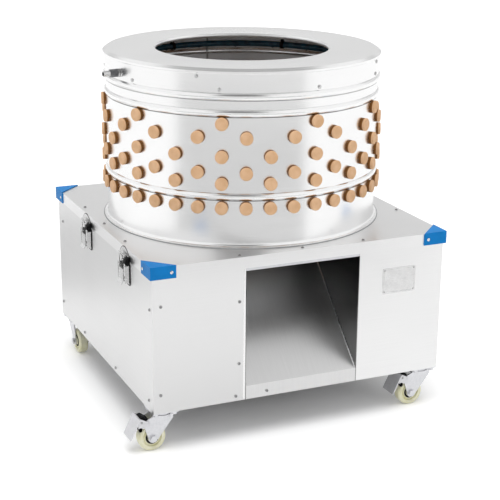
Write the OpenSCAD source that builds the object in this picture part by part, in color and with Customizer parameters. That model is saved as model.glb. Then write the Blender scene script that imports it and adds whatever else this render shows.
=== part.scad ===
// Drum plucker on a castor cabinet: a finger-lined drum on a hinged cover, a spinning finger plate,
// a belt drive below it and a feather chute through the front. Millimetres, floor at z = 0, front at -Y.

/* [Cabinet] */
// Width over the two side panels
cabinet_w = 668; // [650:1:700]
// Depth over the front and back panels
cabinet_d = 662; // [650:1:700]
// Height of the panels
cabinet_h = 313; // [305:1:340]
// Thickness of the panel sheet
sheet_t = 1.5; // [1:0.1:2]
// Leg width of the frame's angle section
angle_w = 30; // [26:1:34]
// Thickness of the frame's angle section
angle_t = 3; // [2:0.5:4]

/* [Chute] */
// Clear width of the chute
chute_w = 262; // [230:2:290]
// Height of the apron under the chute's lip
apron_h = 30; // [20:1:36]
// Slope of the chute floor, in degrees
chute_slope = 43.6; // [38:0.2:46]

/* [Cover] */
// Thickness of the cover sheet
cover_t = 2; // [1.5:0.1:3]
// Depth of the cover's skirt, measured from its top
skirt_h = 25; // [20:1:30]
// Gap between a panel and the skirt
skirt_gap = 1; // [0.5:0.1:2]
// Length of a corner guard along each edge
guard_l = 53; // [40:1:60]
// Thickness of a corner guard
guard_t = 2; // [1.5:0.1:3]
// Outer diameter of the hinge knuckles
knuckle_d = 10; // [9:0.5:12]
// Diameter of the hinge pins
hinge_pin_d = 6; // [4:0.5:7]

/* [Drum] */
// Outer diameter of the drum wall
drum_d = 600; // [580:2:610]
// Thickness of the drum wall
drum_t = 1.5; // [1:0.1:2]
// Height of the lid's rim above the cover
drum_h = 366; // [350:1:390]
// Diameter of the loading mouth
mouth_d = 380; // [340:2:420]
// Half width of a rolled bead
bead_w = 6; // [5:0.5:7]
// How far a bead stands out of the wall
bead_p = 4; // [3:0.5:5]
// Height of the lower bead above the cover
bead_low = 107; // [105:1:109]
// Depth of the middle bead below the lid's rim
bead_mid_drop = 85; // [76:1:87]
// Depth of the collar's bead below the lid's rim
bead_top_drop = 51; // [48:1:54]

/* [Fingers] */
// Number of finger columns round the drum
columns = 38; // [34:2:40]
// Depth of the top finger row, in every fourth column, below the middle bead
row_a_drop = 21; // [20:1:25]
// Depth of the second row, in every second column, below the middle bead
row_b_drop = 50; // [48:1:53]
// Depth of the third row, in the columns between, below the midway of the top and fifth rows
row_c_drop = 6; // [2:1:10]
// Height of the fourth row, under the second, above the lower bead
row_d_rise = 51; // [47:1:55]
// Height of the fifth row, under the third, above the lower bead
row_e_rise = 29; // [25:1:33]
// Depth of the lowest row, in every column, below the lower bead
row_f_drop = 22; // [21:1:27]
// Diameter of a finger's head
head_d = 27; // [24:1:28]
// Thickness of a finger's head
head_t = 10; // [7:1:12]
// Diameter of a finger's neck in its hole
neck_d = 19; // [17:0.5:20]
// Length of a finger from the sheet to its tip
finger_l = 76; // [60:1:80]

/* [Rotor] */
// Diameter of the spinning plate
plate_d = 564; // [540:2:570]
// Thickness of the spinning plate
plate_t = 3; // [2:0.5:5]
// Height of the plate's underside above the cover
plate_rise = 13; // [12:1:20]
// Diameter of the spindle
spindle_d = 25; // [20:1:30]
// Outer diameter of the large pulley
big_pulley_d = 200; // [180:2:210]
// Outer diameter of the small pulley
small_pulley_d = 80; // [70:2:90]
// Distance of the motor's axis from the left panel
motor_side = 99; // [94:1:106]
// Front-to-back position of the motor from the drum's axis
motor_y = 60; // [40:1:80]

/* [Castors] */
// Height of the panels above the floor
castor_h = 90; // [86:1:100]
// Diameter of a wheel
wheel_d = 60; // [50:1:62]
// Width of a wheel
wheel_w = 22; // [18:1:26]
// Distance from a castor's swivel to its axle
trail = 24; // [20:1:28]
// Distance of each castor's swivel from the side panel
castor_side = 28; // [28:1:34]
// Distance of each castor's swivel from the front or back panel
castor_end = 31; // [29:1:51]

/* [Latches] */
// Distance of the rear latch behind the drum's axis
latch_rear = 90; // [80:1:140]
// Distance of the front latch before the drum's axis
latch_front = 174; // [120:1:180]
// Width of a latch's base
latch_w = 46; // [44:1:50]

/* [Hidden] */
$fn = 48;

// Running clearance on a radius, and the small gap between seated curved pieces
run = 0.05;
seat = 0.1;

// Finishes
steel = "gainsboro";
zinc = "silver";
cast = "dimgray";
rubber = "peru";
guard_blue = "dodgerblue";
nylon = "lightgoldenrodyellow";
black = "black";

// Heights
panel_top = castor_h + cabinet_h;
cover_top = panel_top + cover_t;
skirt_low = cover_top - skirt_h;
half_w = cabinet_w / 2;
half_d = cabinet_d / 2;
cover_hw = half_w + skirt_gap + cover_t;
cover_hd = half_d + skirt_gap + cover_t;
drum_r = drum_d / 2;
drum_in = drum_r - drum_t;
bead_mid = drum_h - bead_mid_drop;
bead_top = drum_h - bead_top_drop;
row_a = bead_mid - row_a_drop;
row_b = bead_mid - row_b_drop;
row_d = bead_low + row_d_rise;
row_e = bead_low + row_e_rise;
row_c = (row_a + row_e) / 2 - row_c_drop;
row_f = bead_low - row_f_drop;

// Chute
chute_hw = chute_w / 2;
lip_z = castor_h + apron_h;
slope = tan(chute_slope);
floor_drop = sheet_t / cos(chute_slope);
function floor_z(y) = lip_z + (y + half_d) * slope;

// Cover hinge, on the right side
hinge_x = cover_hw + knuckle_d / 2;
hinge_z = skirt_low;
hinge_y = 200;
leaf_l = 64;
leaf_t = 2;

// Latches on the left side: u is the distance out from the side panel
latch_sheet = 1.5;
latch_drop = 31;
latch_h = 45;
latch_high = panel_top - latch_drop;
latch_low = latch_high - latch_h;
lever_pin_u = 5;
lever_pin_z = latch_high - 12;
lever_pin_r = 2;
lever_hw = 14;
lever_u = 11;
bail_r = 1.75;
bail_u = lever_pin_u + 4.5;
bail_z = lever_pin_z - 12;
bail_hw = latch_w / 2 - latch_sheet - bail_r - 2.25;
keeper_shelf_z = skirt_low + 6;
keeper_shelf_t = 2;
bail_bar_z = keeper_shelf_z + keeper_shelf_t + bail_r + seat;

// Rotor and drive
plate_z = cover_top + plate_rise;
pan_t = 2;
pan_top = panel_top - angle_t;
pan_gap = 2;
bridge_t = 10;
bridge_top = pan_top - pan_t;
bridge_w = 150;
spindle_r = spindle_d / 2;
housing_r = 32;
bearing_r = 26;
bearing_h = 15;
housing_low = castor_h + 60;
belt_z = castor_h + 32;
pulley_t = 28;
belt_w = 13;
belt_h = 9;
belt_taper = 2.5;
belt_in = 4;
motor_x = -half_w + motor_side;
motor_r = 62;
motor_low = castor_h + 60;
motor_h = 144;
motor_shaft_r = 9.5;
motor_shaft_in = 39;
bracket_t = 8;
rotor_rings = [[185, 18], [125, 12], [68, 6]];

// Castors: heights from the floor
castor_x = half_w - castor_side;
castor_y = half_d - castor_end;
wheel_r = wheel_d / 2;
axle_r = 4;
plate_s = 56;
plate_sheet = 3;
race_z = castor_h - 10;
fork_top_t = 5.7;
fork_top = race_z - 0.3;
fork_t = 3;
fork_in = wheel_w / 2 + 1.5;
king_r = 6;
pedal_pin = [-13, 34];
pedal_pin_r = 3;
pedal_top = [-31, 49];
pedal_end = [-52, 6];
pedal_w = 45;
pedal_t = 2.5;
castor_spots = [[-1, -1], [1, -1], [-1, 1], [1, 1]];

// Switch box on the back panel
switch_x = 230;
switch_gap = 6;
switch_w = 70;
switch_h = 110;
switch_z = skirt_low - switch_gap - switch_h;
switch_d = 44;
button_r = 11;
button_out = 5;
button_in = 7;
button_travel = 4;
button_gap = 0.3;
start_z = switch_z + 0.7 * switch_h;
stop_z = switch_z + 0.3 * switch_h;

// Domed screw heads of the panels, the cover and the corner guards
screw_d = 7;
screw_t = 2;

// The drum's axis is set so that the whole part is centred over its origin
left_reach = castor_x + trail - pedal_end[0];
right_reach = hinge_x + knuckle_d / 2;
front_reach = cover_hd + guard_t + screw_t;
back_reach = half_d + switch_d + button_out;
axis_x = (left_reach - right_reach) / 2;
axis_y = (front_reach - back_reach) / 2;

module on_axis() {
    translate([axis_x, axis_y, 0]) children();
}

// Places children on the drum's wall at an angle from the front, pointing outwards
module on_wall(angle, r, z) {
    rotate([0, 0, angle]) translate([0, -r, z]) rotate([90, 0, 0]) children();
}

// An outline drawn in the X-Z plane, as wide as w and centred on y
module across(w, y = 0) {
    translate([0, y + w / 2, 0]) rotate([90, 0, 0]) linear_extrude(w) children();
}

// Radius added by a bead of the drum wall at height z
bead_arc = (bead_w * bead_w + bead_p * bead_p) / (2 * bead_p);
function bead_out(z, mid) = sqrt(bead_arc * bead_arc - (z - mid) * (z - mid)) - (bead_arc - bead_p);
function bead_points(r, mid) = [
    for (i = [-4:4]) [r + bead_out(mid + i * bead_w / 4, mid), mid + i * bead_w / 4]
];
function reversed(list) = [for (i = [len(list) - 1:-1:0]) list[i]];

// Finger columns: even columns hold rows B and D, odd ones C and E, and every second odd one also A
first_column = -2.5;
half_columns = floor(columns / 2);
column_list = [for (k = [-half_columns:columns - half_columns - 1]) k];
function column_angle(k) = first_column + k * 360 / columns;
function kind(k) = ((k % 4) + 4) % 4;
function rows(k) = kind(k) % 2 == 0 ? [row_b, row_d, row_f] : [row_c, row_e, row_f];
function top_row(k) = kind(k) == 1 ? [row_a] : [];
wall_fingers = [for (k = column_list) for (h = concat(top_row(k), rows(k))) [column_angle(k), h]];

// Sagitta of the curved wall under a finger's inner flange
flange_r = neck_d / 2 + 3;
flange_drop = drum_in - sqrt(drum_in * drum_in - flange_r * flange_r) + seat;

// A ribbed rubber finger: z = 0 is the outer face of the sheet that holds it
module finger(grip) {
    rib_count = 5;
    rib_p = (finger_l - 16) / rib_count;
    root_r = neck_d / 2 + 1;
    tip_r = 6.5;
    function taper(z) = root_r + (tip_r - root_r) * z / finger_l;
    ribs = [
        for (i = [0:rib_count - 1])
            for (q = [[0, 0], [0.25, 1.2], [0.55, 1.2], [0.8, 0]])
                let (z = 11 + (i + q[0]) * rib_p) [taper(z) + q[1], -z]
    ];
    rotate_extrude() polygon(concat(
        [[0, head_t], [head_d / 2 - 1.5, head_t], [head_d / 2, head_t - 1.5], [head_d / 2, seat]],
        [[neck_d / 2, seat], [neck_d / 2, -grip], [flange_r, -grip], [flange_r, -grip - 3]],
        [[taper(9), -grip - 6]],
        ribs,
        [[tip_r, -finger_l + 3], [tip_r - 3, -finger_l], [0, -finger_l]]
    ));
}

// A domed rivet or screw head, seated at z = 0
module dome(d, h) {
    rotate_extrude() polygon([[0, 0], [d / 2, 0], [d / 2, h * 0.4], [d / 4, h], [0, h]]);
}

// A hexagon of the given width across flats
module hexagon(flats, h) {
    cylinder(r = flats / sqrt(3), h = h, $fn = 6);
}

// Section of the angle bar, its corner at the origin
module angle_section() {
    square([angle_w, angle_t]);
    square([angle_t, angle_w]);
}

// Angle bar along Y: its legs point to +X and +Z
module angle_y(l) {
    rotate([90, 0, 0]) translate([0, 0, -l / 2]) linear_extrude(l) angle_section();
}

// Corner post of the frame with the gusset that a castor is bolted to
module corner_post() {
    linear_extrude(cabinet_h) angle_section();
    cube([frame_hw - castor_x + plate_s / 2, frame_hd - castor_y + plate_s / 2, angle_t]);
}

// Welded angle frame inside the panels
frame_hw = half_w - sheet_t;
frame_hd = half_d - sheet_t;
rail_x = chute_hw + 4;
module base_frame() {
    color(zinc) on_axis() difference() {
        frame_bars();
        translate([-chute_hw - seat, -frame_hd - 1, castor_h + angle_t])
            cube([chute_w + 2 * seat, angle_t + 2, angle_w]);
    }
}

module frame_bars() {
    for (sx = [0, 1], sy = [0, 1]) mirror([sx, 0, 0]) mirror([0, sy, 0])
        translate([-frame_hw, -frame_hd, castor_h]) corner_post();
    for (sx = [0, 1]) mirror([sx, 0, 0]) {
        translate([-frame_hw, 0, castor_h]) angle_y(2 * frame_hd);
        translate([-frame_hw, 0, panel_top]) mirror([0, 0, 1]) angle_y(2 * frame_hd);
        translate([-rail_x - angle_w, -frame_hd, castor_h]) cube([angle_w, 2 * frame_hd, angle_t]);
    }
    for (sy = [0, 1]) mirror([0, sy, 0]) rotate([0, 0, 90]) {
        translate([-frame_hd, 0, castor_h]) angle_y(2 * frame_hw);
        translate([-frame_hd, 0, panel_top]) mirror([0, 0, 1]) angle_y(2 * frame_hw);
    }
}

// A side panel on the left, mirrored for the right
module side_panel() {
    translate([-half_w, -half_d + sheet_t, castor_h]) cube([sheet_t, cabinet_d - 2 * sheet_t, cabinet_h]);
}

module left_panel() {
    color(steel) on_axis() side_panel();
}

module right_panel() {
    color(steel) on_axis() mirror([1, 0, 0]) side_panel();
}

module back_panel() {
    color(steel) on_axis() translate([-half_w, half_d - sheet_t, castor_h])
        cube([cabinet_w, sheet_t, cabinet_h]);
}

// A front panel on the left with its edge folded back beside the chute, mirrored for the right
fold_l = 16;
module front_panel() {
    w = half_w - chute_hw;
    translate([-half_w, -half_d, castor_h]) {
        cube([w, sheet_t, cabinet_h]);
        translate([w - sheet_t, 0, angle_t]) cube([sheet_t, fold_l, cabinet_h - angle_t - angle_w - seat]);
    }
}

module front_notch() {
    translate([-chute_hw - 2 * sheet_t, -half_d + sheet_t, castor_h - 1])
        cube([3 * sheet_t, fold_l, angle_w + 1 + seat]);
}

module front_left_panel() {
    color(steel) on_axis() difference() {
        front_panel();
        front_notch();
    }
}

module front_right_panel() {
    color(steel) on_axis() mirror([1, 0, 0]) difference() {
        front_panel();
        front_notch();
    }
}

// Folded chute: steep floor, side walls, a back flange under the pan and the apron under its lip
chute_back_gap = 4.5;
chute_back = -bridge_w / 2 - chute_back_gap;
module chute() {
    top = bridge_top - seat;
    rail_y = -frame_hd + angle_t + seat;
    rail_z = panel_top - angle_w - seat;
    back_z = floor_z(chute_back);
    floor_out = [
        [-half_d, lip_z], [chute_back, back_z], [chute_back, top], [chute_back + sheet_t, top],
        [chute_back + sheet_t, back_z - floor_drop], [chute_back, back_z - floor_drop],
        [-half_d, lip_z - floor_drop]
    ];
    wall_out = [
        [-half_d, lip_z - floor_drop], [-half_d, rail_z], [rail_y, rail_z], [rail_y, top],
        [chute_back, top], [chute_back, back_z - floor_drop]
    ];
    color(steel) on_axis() {
        rotate([0, 0, 90]) {
            across(chute_w) polygon(floor_out);
            for (s = [-1, 1]) across(sheet_t, s * (chute_hw - sheet_t / 2)) polygon(wall_out);
        }
        translate([-chute_hw, -half_d, castor_h]) cube([chute_w, sheet_t, apron_h]);
    }
}

// Pan on the bridge that closes the drum's bottom, with the outlet hole above the chute
outlet_side = 13;
outlet_edge = 1;
outlet_back = 20;
module base_pan() {
    hw = frame_hw - angle_t;
    hd = frame_hd - angle_t;
    color(steel) on_axis() translate([0, 0, bridge_top]) difference() {
        translate([-hw, -hd, 0]) cube([2 * hw, 2 * hd, pan_t]);
        translate([0, 0, -1]) cylinder(r = spindle_r + 6, h = pan_t + 2);
        intersection() {
            translate([0, 0, -1]) cylinder(r = drum_in - outlet_edge, h = pan_t + 2);
            translate([-chute_hw + outlet_side, -drum_r, -1])
                cube([chute_w - 2 * outlet_side, drum_r + chute_back - outlet_back, pan_t + 2]);
        }
    }
}

// Places children at the four bolts of the spindle housing's flange
module at_housing_bolts() {
    for (a = [45:90:315]) rotate([0, 0, a]) translate([housing_pcd / 2, 0, 0]) children();
}

// Flanged beam across the frame that carries the spindle housing
bridge_leg = 18;
bridge_leg_in = 55;
module bearing_bridge() {
    beam_l = 2 * (frame_hw - angle_t);
    leg_l = beam_l - 2 * bridge_leg_in;
    color(zinc) on_axis() difference() {
        union() {
            translate([-beam_l / 2, -bridge_w / 2, bridge_top - bridge_t]) cube([beam_l, bridge_w, bridge_t]);
            for (s = [0, 1]) mirror([0, s, 0])
                translate([-leg_l / 2, -bridge_w / 2, housing_top - bridge_leg])
                    cube([leg_l, 4, bridge_t + bridge_leg]);
        }
        cylinder(r = spindle_r + 6, h = cover_top);
        at_housing_bolts() cylinder(r = bolt_r + seat, h = cover_top);
    }
}

// Spindle housing hung below the bridge
housing_flange_r = 65;
housing_flange_t = 10;
housing_pcd = 104;
housing_top = bridge_top - bridge_t;
bolt_r = 4;
bolt_flats = 13;
bolt_head = 5.3;
module spindle_housing() {
    color(cast) on_axis() difference() {
        union() {
            translate([0, 0, housing_low]) cylinder(r = housing_r, h = housing_top - housing_low);
            translate([0, 0, housing_top - housing_flange_t])
                cylinder(r = housing_flange_r, h = housing_flange_t);
        }
        translate([0, 0, housing_low - 1]) cylinder(r = spindle_r + 6, h = cover_top);
        for (z = [housing_low, housing_top - bearing_h])
            translate([0, 0, z - seat]) cylinder(r = bearing_r + 0.02, h = bearing_h + 2 * seat);
        at_housing_bolts() cylinder(r = bolt_r + seat, h = cover_top);
    }
}

module spindle_bearings() {
    color(zinc) on_axis() for (z = [housing_low, housing_top - bearing_h]) translate([0, 0, z]) difference() {
        cylinder(r = bearing_r, h = bearing_h);
        translate([0, 0, -1]) cylinder(r = spindle_r + run, h = bearing_h + 2);
        for (face = [-1, bearing_h - 1]) translate([0, 0, face]) difference() {
            cylinder(r = bearing_r - 3.5, h = 2);
            cylinder(r = spindle_r + 4, h = 2);
        }
    }
}

// Finned motor, shaft down
module motor_body() {
    fin_count = 18;
    h = motor_h;
    color(cast) on_axis() translate([motor_x, motor_y, motor_low]) difference() {
        union() {
            cylinder(r = motor_r, h = 12);
            cylinder(r = motor_r - 10, h = h);
            translate([0, 0, h - 34]) cylinder(r = motor_r - 3, h = 34);
            for (i = [0:fin_count - 1]) rotate([0, 0, i * 360 / fin_count])
                translate([motor_r - 16, -1.5, 12]) cube([14, 3, h - 46 + 1]);
            rotate([0, 0, 90]) translate([motor_r - 18, -28, 30]) cube([36, 56, 46]);
        }
        translate([0, 0, -1]) cylinder(r = motor_shaft_r + run, h = motor_shaft_in + 2);
    }
}

// Stand for the motor: a plate on two legs
bracket_in = 86;
bracket_tail = 40;
module motor_bracket() {
    x0 = -frame_hw + angle_t;
    x1 = -rail_x - 2;
    y0 = motor_y - bracket_in - bracket_tail;
    y1 = motor_y + bracket_in;
    leg_z = castor_h + angle_t;
    color(zinc) on_axis() difference() {
        union() {
            translate([x0, y0, motor_low - bracket_t]) cube([x1 - x0, y1 - y0, bracket_t]);
            for (y = [y0, y1 - 6]) translate([x0, y, leg_z]) cube([x1 - x0, 6, motor_low - leg_z]);
        }
        translate([motor_x, motor_y, 0]) cylinder(r = motor_shaft_r + 8, h = cover_top);
    }
}

// V-belt round both pulleys
belt_span = sqrt(motor_x * motor_x + motor_y * motor_y);
belt_big_r = big_pulley_d / 2 - belt_in;
belt_small_r = small_pulley_d / 2 - belt_in;
belt_lean = asin((belt_big_r - belt_small_r) / belt_span);
belt_dir = atan2(motor_y, motor_x);
belt_corners = [
    [-belt_h, -belt_w / 2 + belt_taper], [-belt_h, belt_w / 2 - belt_taper], [0, belt_w / 2], [0, -belt_w / 2]
];
big_steps = 30;
small_steps = 20;
belt_stations = concat(
    [for (i = [0:big_steps]) [0, belt_big_r, 90 - belt_lean + i * (180 + 2 * belt_lean) / big_steps]],
    [for (i = [0:small_steps]) [belt_span, belt_small_r, (90 - belt_lean) * (2 * i / small_steps - 1)]]
);
function belt_point(s, q) = [s[0] + (s[1] + q[0]) * cos(s[2]), (s[1] + q[0]) * sin(s[2]), q[1]];
module drive_belt() {
    count = len(belt_stations);
    points = [for (s = belt_stations) for (q = belt_corners) belt_point(s, q)];
    faces = [
        for (i = [0:count - 1]) for (j = [0:3])
            let (a = 4 * i, b = 4 * ((i + 1) % count), k = (j + 1) % 4) [a + j, a + k, b + k, b + j]
    ];
    color(black) on_axis() translate([0, 0, belt_z]) rotate([0, 0, belt_dir]) polyhedron(points, faces);
}

// Hex bolts: housing to bridge, motor to bracket and castor plates to frame
module hex_bolt(l) {
    hexagon(bolt_flats, bolt_head);
    translate([0, 0, bolt_head]) cylinder(r = bolt_r, h = l);
}

module frame_bolts() {
    castor_bolt = plate_s / 2 - 8;
    color(zinc) on_axis() {
        at_housing_bolts() translate([0, 0, housing_top - housing_flange_t - bolt_head])
            hex_bolt(housing_flange_t + bridge_t - 1);
        for (spot = castor_spots, bx = [-1, 1], by = [-1, 1])
            translate([spot[0] * castor_x + bx * castor_bolt, spot[1] * castor_y + by * castor_bolt, 0])
                translate([0, 0, castor_h - plate_sheet - bolt_head]) hexagon(bolt_flats, bolt_head);
    }
}

// Screw heads on the front, left, right and back panels: place along the panel, height above its lower edge
side_screws = [
    [half_d - 31, cabinet_h - 73], [half_d - 16, 32], [142, 12],
    [-87, 10], [26 - half_d, 22], [16 - half_d, cabinet_h - 91]
];
front_screws = [
    [18 - half_w, cabinet_h - 82], [-chute_hw - 14, cabinet_h - 94], [-chute_hw - 14, 83],
    [-chute_hw - 21, 11], [16 - half_w, 40]
];
back_screws = [
    for (x = [19 - half_w, half_w - 19], z = [30, cabinet_h - 73]) [x, z],
    [0, 14], [0, cabinet_h - 73]
];
apron_screw = [50 - chute_hw, 12];
module panel_screws() {
    color(zinc) on_axis() translate([0, 0, castor_h]) {
        for (p = concat(front_screws, [apron_screw])) translate([p[0], -half_d, p[1]]) rotate([90, 0, 0])
            dome(screw_d, screw_t);
        for (p = side_screws) {
            translate([-half_w, p[0], p[1]]) rotate([0, -90, 0]) dome(screw_d, screw_t);
            translate([half_w, p[0], p[1]]) rotate([0, 90, 0]) dome(screw_d, screw_t);
        }
        for (p = back_screws) translate([p[0], half_d, p[1]]) rotate([-90, 0, 0]) dome(screw_d, screw_t);
    }
}

// Frames a latch: local X points out from the left panel, Z up
module at_latch(s) {
    translate([-half_w, s > 0 ? latch_rear : -latch_front, 0]) mirror([1, 0, 0]) children();
}

// Latch base: a back plate with two cheeks and the lever's pivot stubs
module latch_base() {
    cheek_l = latch_high - latch_low - 8;
    translate([0, -latch_w / 2, latch_low]) cube([latch_sheet, latch_w, latch_high - latch_low]);
    for (s = [-1, 1]) {
        translate([0, s * (latch_w - latch_sheet) / 2 - latch_sheet / 2, latch_low + 4])
            cube([lever_u, latch_sheet, cheek_l]);
        translate([lever_pin_u, s * (latch_w / 2 - 0.5), lever_pin_z]) rotate([s * 90, 0, 0])
            cylinder(r = lever_pin_r, h = latch_w / 2 - 0.5 - lever_hw + 2);
    }
}

module latch_bases() {
    color(zinc) on_axis() for (s = [-1, 1]) at_latch(s) latch_base();
}

// Latch lever: a plate with two flanges round the pivot and a turned-out thumb tip
module lever() {
    eye_r = lever_pin_u - latch_sheet - 0.3;
    flange = [
        [lever_pin_u - eye_r, lever_pin_z], [lever_u, lever_pin_z],
        [lever_u, latch_low + 8], [bail_u - 3.5, bail_z - 3]
    ];
    tip = [
        [lever_u, lever_pin_z], [lever_u + latch_sheet, lever_pin_z], [lever_u + latch_sheet, latch_low + 8],
        [lever_u + 6, latch_low + 1], [lever_u + 4.5, latch_low], [lever_u, latch_low + 7.4]
    ];
    difference() {
        union() {
            across(2 * lever_hw) polygon(tip);
            for (s = [-1, 1]) across(latch_sheet, s * (lever_hw - latch_sheet / 2)) union() {
                polygon(flange);
                translate([lever_pin_u, lever_pin_z]) circle(r = eye_r);
            }
        }
        across(3 * lever_hw) translate([lever_pin_u, lever_pin_z]) circle(r = lever_pin_r + run);
        across(3 * lever_hw) translate([bail_u, bail_z]) circle(r = bail_r + run);
    }
}

module latch_lever_rear() {
    color(zinc) on_axis() at_latch(1) lever();
}

module latch_lever_front() {
    color(zinc) on_axis() at_latch(-1) lever();
}

// Wire bail: a crossbar over the keeper, two arms and two ends in the lever's flanges
module bail() {
    arm_l = bail_bar_z - bail_z;
    translate([bail_u, 0, bail_bar_z]) rotate([90, 0, 0])
        cylinder(r = bail_r, h = 2 * bail_hw, center = true);
    for (s = [-1, 1]) translate([bail_u, s * bail_hw, bail_z]) {
        cylinder(r = bail_r, h = arm_l);
        sphere(r = bail_r);
        translate([0, 0, arm_l]) sphere(r = bail_r);
        rotate([s * 90, 0, 0]) cylinder(r = bail_r, h = bail_hw - lever_hw + latch_sheet + 1);
    }
}

module latch_bail_rear() {
    color(zinc) on_axis() at_latch(1) bail();
}

module latch_bail_front() {
    color(zinc) on_axis() at_latch(-1) bail();
}

// Keeper on the skirt: an arched plate with a shelf for the bail's crossbar
keeper_w = 40;
module keeper() {
    base_u = cover_hw - half_w;
    arch_r = 26;
    plate_h = skirt_h - 4;
    translate([base_u, 0, skirt_low + 1]) {
        rotate([90, 0, 90]) linear_extrude(latch_sheet) intersection() {
            translate([-keeper_w / 2, 0]) square([keeper_w, plate_h]);
            translate([0, plate_h - arch_r]) circle(r = arch_r);
        }
        translate([0, -keeper_w / 4, keeper_shelf_z - skirt_low - 1])
            cube([bail_u + bail_r + 2 - base_u, keeper_w / 2, keeper_shelf_t]);
    }
}

module latch_keepers() {
    color(zinc) on_axis() for (s = [-1, 1]) at_latch(s) keeper();
}

// Hinges on the right side: each has a middle knuckle on the base leaf and two on the cover leaf
knuckle_mid = 28;
knuckle_end = 17;
module knuckle(y0, y1) {
    translate([hinge_x, y0, hinge_z]) rotate([-90, 0, 0]) difference() {
        cylinder(d = knuckle_d, h = y1 - y0);
        translate([0, 0, -1]) cylinder(r = hinge_pin_d / 2 + run, h = y1 - y0 + 2);
    }
}

module hinge_base_leaves() {
    leaf_h = 34;
    color(zinc) on_axis() for (s = [-1, 1]) translate([0, s * hinge_y, 0]) {
        translate([half_w, -leaf_l / 2, hinge_z - 2 - leaf_h]) cube([leaf_t, leaf_l, leaf_h]);
        difference() {
            translate([half_w, -knuckle_mid / 2, hinge_z - knuckle_d / 2])
                cube([hinge_x - half_w, knuckle_mid, 3]);
            translate([hinge_x, 0, hinge_z]) rotate([90, 0, 0])
                cylinder(r = hinge_pin_d / 2 + run, h = leaf_l, center = true);
        }
        knuckle(-knuckle_mid / 2, knuckle_mid / 2);
    }
}

module hinge_cover_leaves() {
    leaf_h = skirt_h - knuckle_d / 2 - 1;
    web_l = knuckle_end;
    color(zinc) on_axis() for (s = [-1, 1]) translate([0, s * hinge_y, 0]) {
        translate([cover_hw, -leaf_l / 2, cover_top - leaf_h - 1]) cube([leaf_t, leaf_l, leaf_h]);
        for (t = [-1, 1]) {
            y0 = t * (leaf_l / 2 - web_l / 2) - web_l / 2;
            translate([cover_hw, y0, hinge_z + knuckle_d / 2 - 2]) cube([hinge_x - cover_hw, web_l, 2]);
            knuckle(y0, y0 + web_l);
        }
    }
}

module hinge_pins() {
    color(zinc) on_axis() for (s = [-1, 1]) translate([hinge_x, s * hinge_y, hinge_z]) rotate([90, 0, 0])
        cylinder(d = hinge_pin_d, h = leaf_l + 2, center = true);
}

// Castor plates with their upper race and kingpin
module castor_plates() {
    pin_head = 3;
    color(zinc) on_axis() for (spot = castor_spots) translate([spot[0] * castor_x, spot[1] * castor_y, 0]) {
        translate([-plate_s / 2, -plate_s / 2, castor_h - plate_sheet]) cube([plate_s, plate_s, plate_sheet]);
        translate([0, 0, race_z]) cylinder(r = 19, h = castor_h - plate_sheet - race_z);
        translate([0, 0, fork_top - fork_top_t - 0.3 - pin_head]) {
            cylinder(r = king_r, h = castor_h - fork_top + fork_top_t);
            cylinder(r = king_r + 3, h = pin_head);
        }
    }
}

// Pressed fork with its axle bolt, and on a braked one a nose with the pedal's pivot stubs; the axle trails
module fork(braked) {
    cheek_low = -3;
    deck = fork_top - wheel_r;
    nose = [[pedal_pin[0] - 7, pedal_pin[1] - 2], [pedal_pin[0] - 4, pedal_pin[1] + 6]];
    cheek = concat(
        [[trail + 20, deck], [trail + 20, deck - 9], [11, cheek_low], [-9, cheek_low]],
        braked ? nose : [],
        [[trail - 20, deck]]
    );
    translate([-trail, 0, wheel_r]) {
        difference() {
            union() {
                for (s = [-1, 1]) across(fork_t, s * (fork_in + fork_t / 2)) union() {
                    polygon(cheek);
                    circle(r = 10);
                }
                translate([trail, 0, deck - fork_top_t]) cylinder(r = 21, h = fork_top_t);
            }
            translate([trail, 0, 0]) cylinder(r = king_r + run, h = deck + 1);
            rotate([90, 0, 0]) cylinder(r = axle_r + 0.02, h = 4 * wheel_w, center = true);
        }
        if (braked) for (s = [-1, 1]) translate([pedal_pin[0], s * (fork_in + fork_t - 0.5), pedal_pin[1]])
            rotate([-s * 90, 0, 0]) cylinder(r = pedal_pin_r, h = pedal_gap + pedal_arm + 1);
        rotate([90, 0, 0]) cylinder(r = axle_r, h = 2 * (fork_in + fork_t) + 2, center = true);
        for (s = [-1, 1]) translate([0, s * (fork_in + fork_t + seat), 0]) rotate([-s * 90, 0, 0])
            hexagon(bolt_flats, bolt_head);
    }
}

// Wheel with a crowned tread, a ring groove in each face and a raised hub
module wheel() {
    hub_w = wheel_w / 2 + 1;
    half = wheel_w / 2;
    face = [
        [axle_r + run, hub_w], [9, hub_w], [10, half - 2], [wheel_r - 14, half - 1.5],
        [wheel_r - 13, half - 5], [wheel_r - 10.5, half - 5], [wheel_r - 9.5, half - 0.5],
        [wheel_r - 6, half], [wheel_r - 3.5, half], [wheel_r - 1, half - 2], [wheel_r, half - 5]
    ];
    translate([-trail, 0, wheel_r]) rotate([90, 0, 0]) rotate_extrude()
        polygon(concat(face, reversed([for (q = face) [q[0], -q[1]]])));
}

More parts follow.
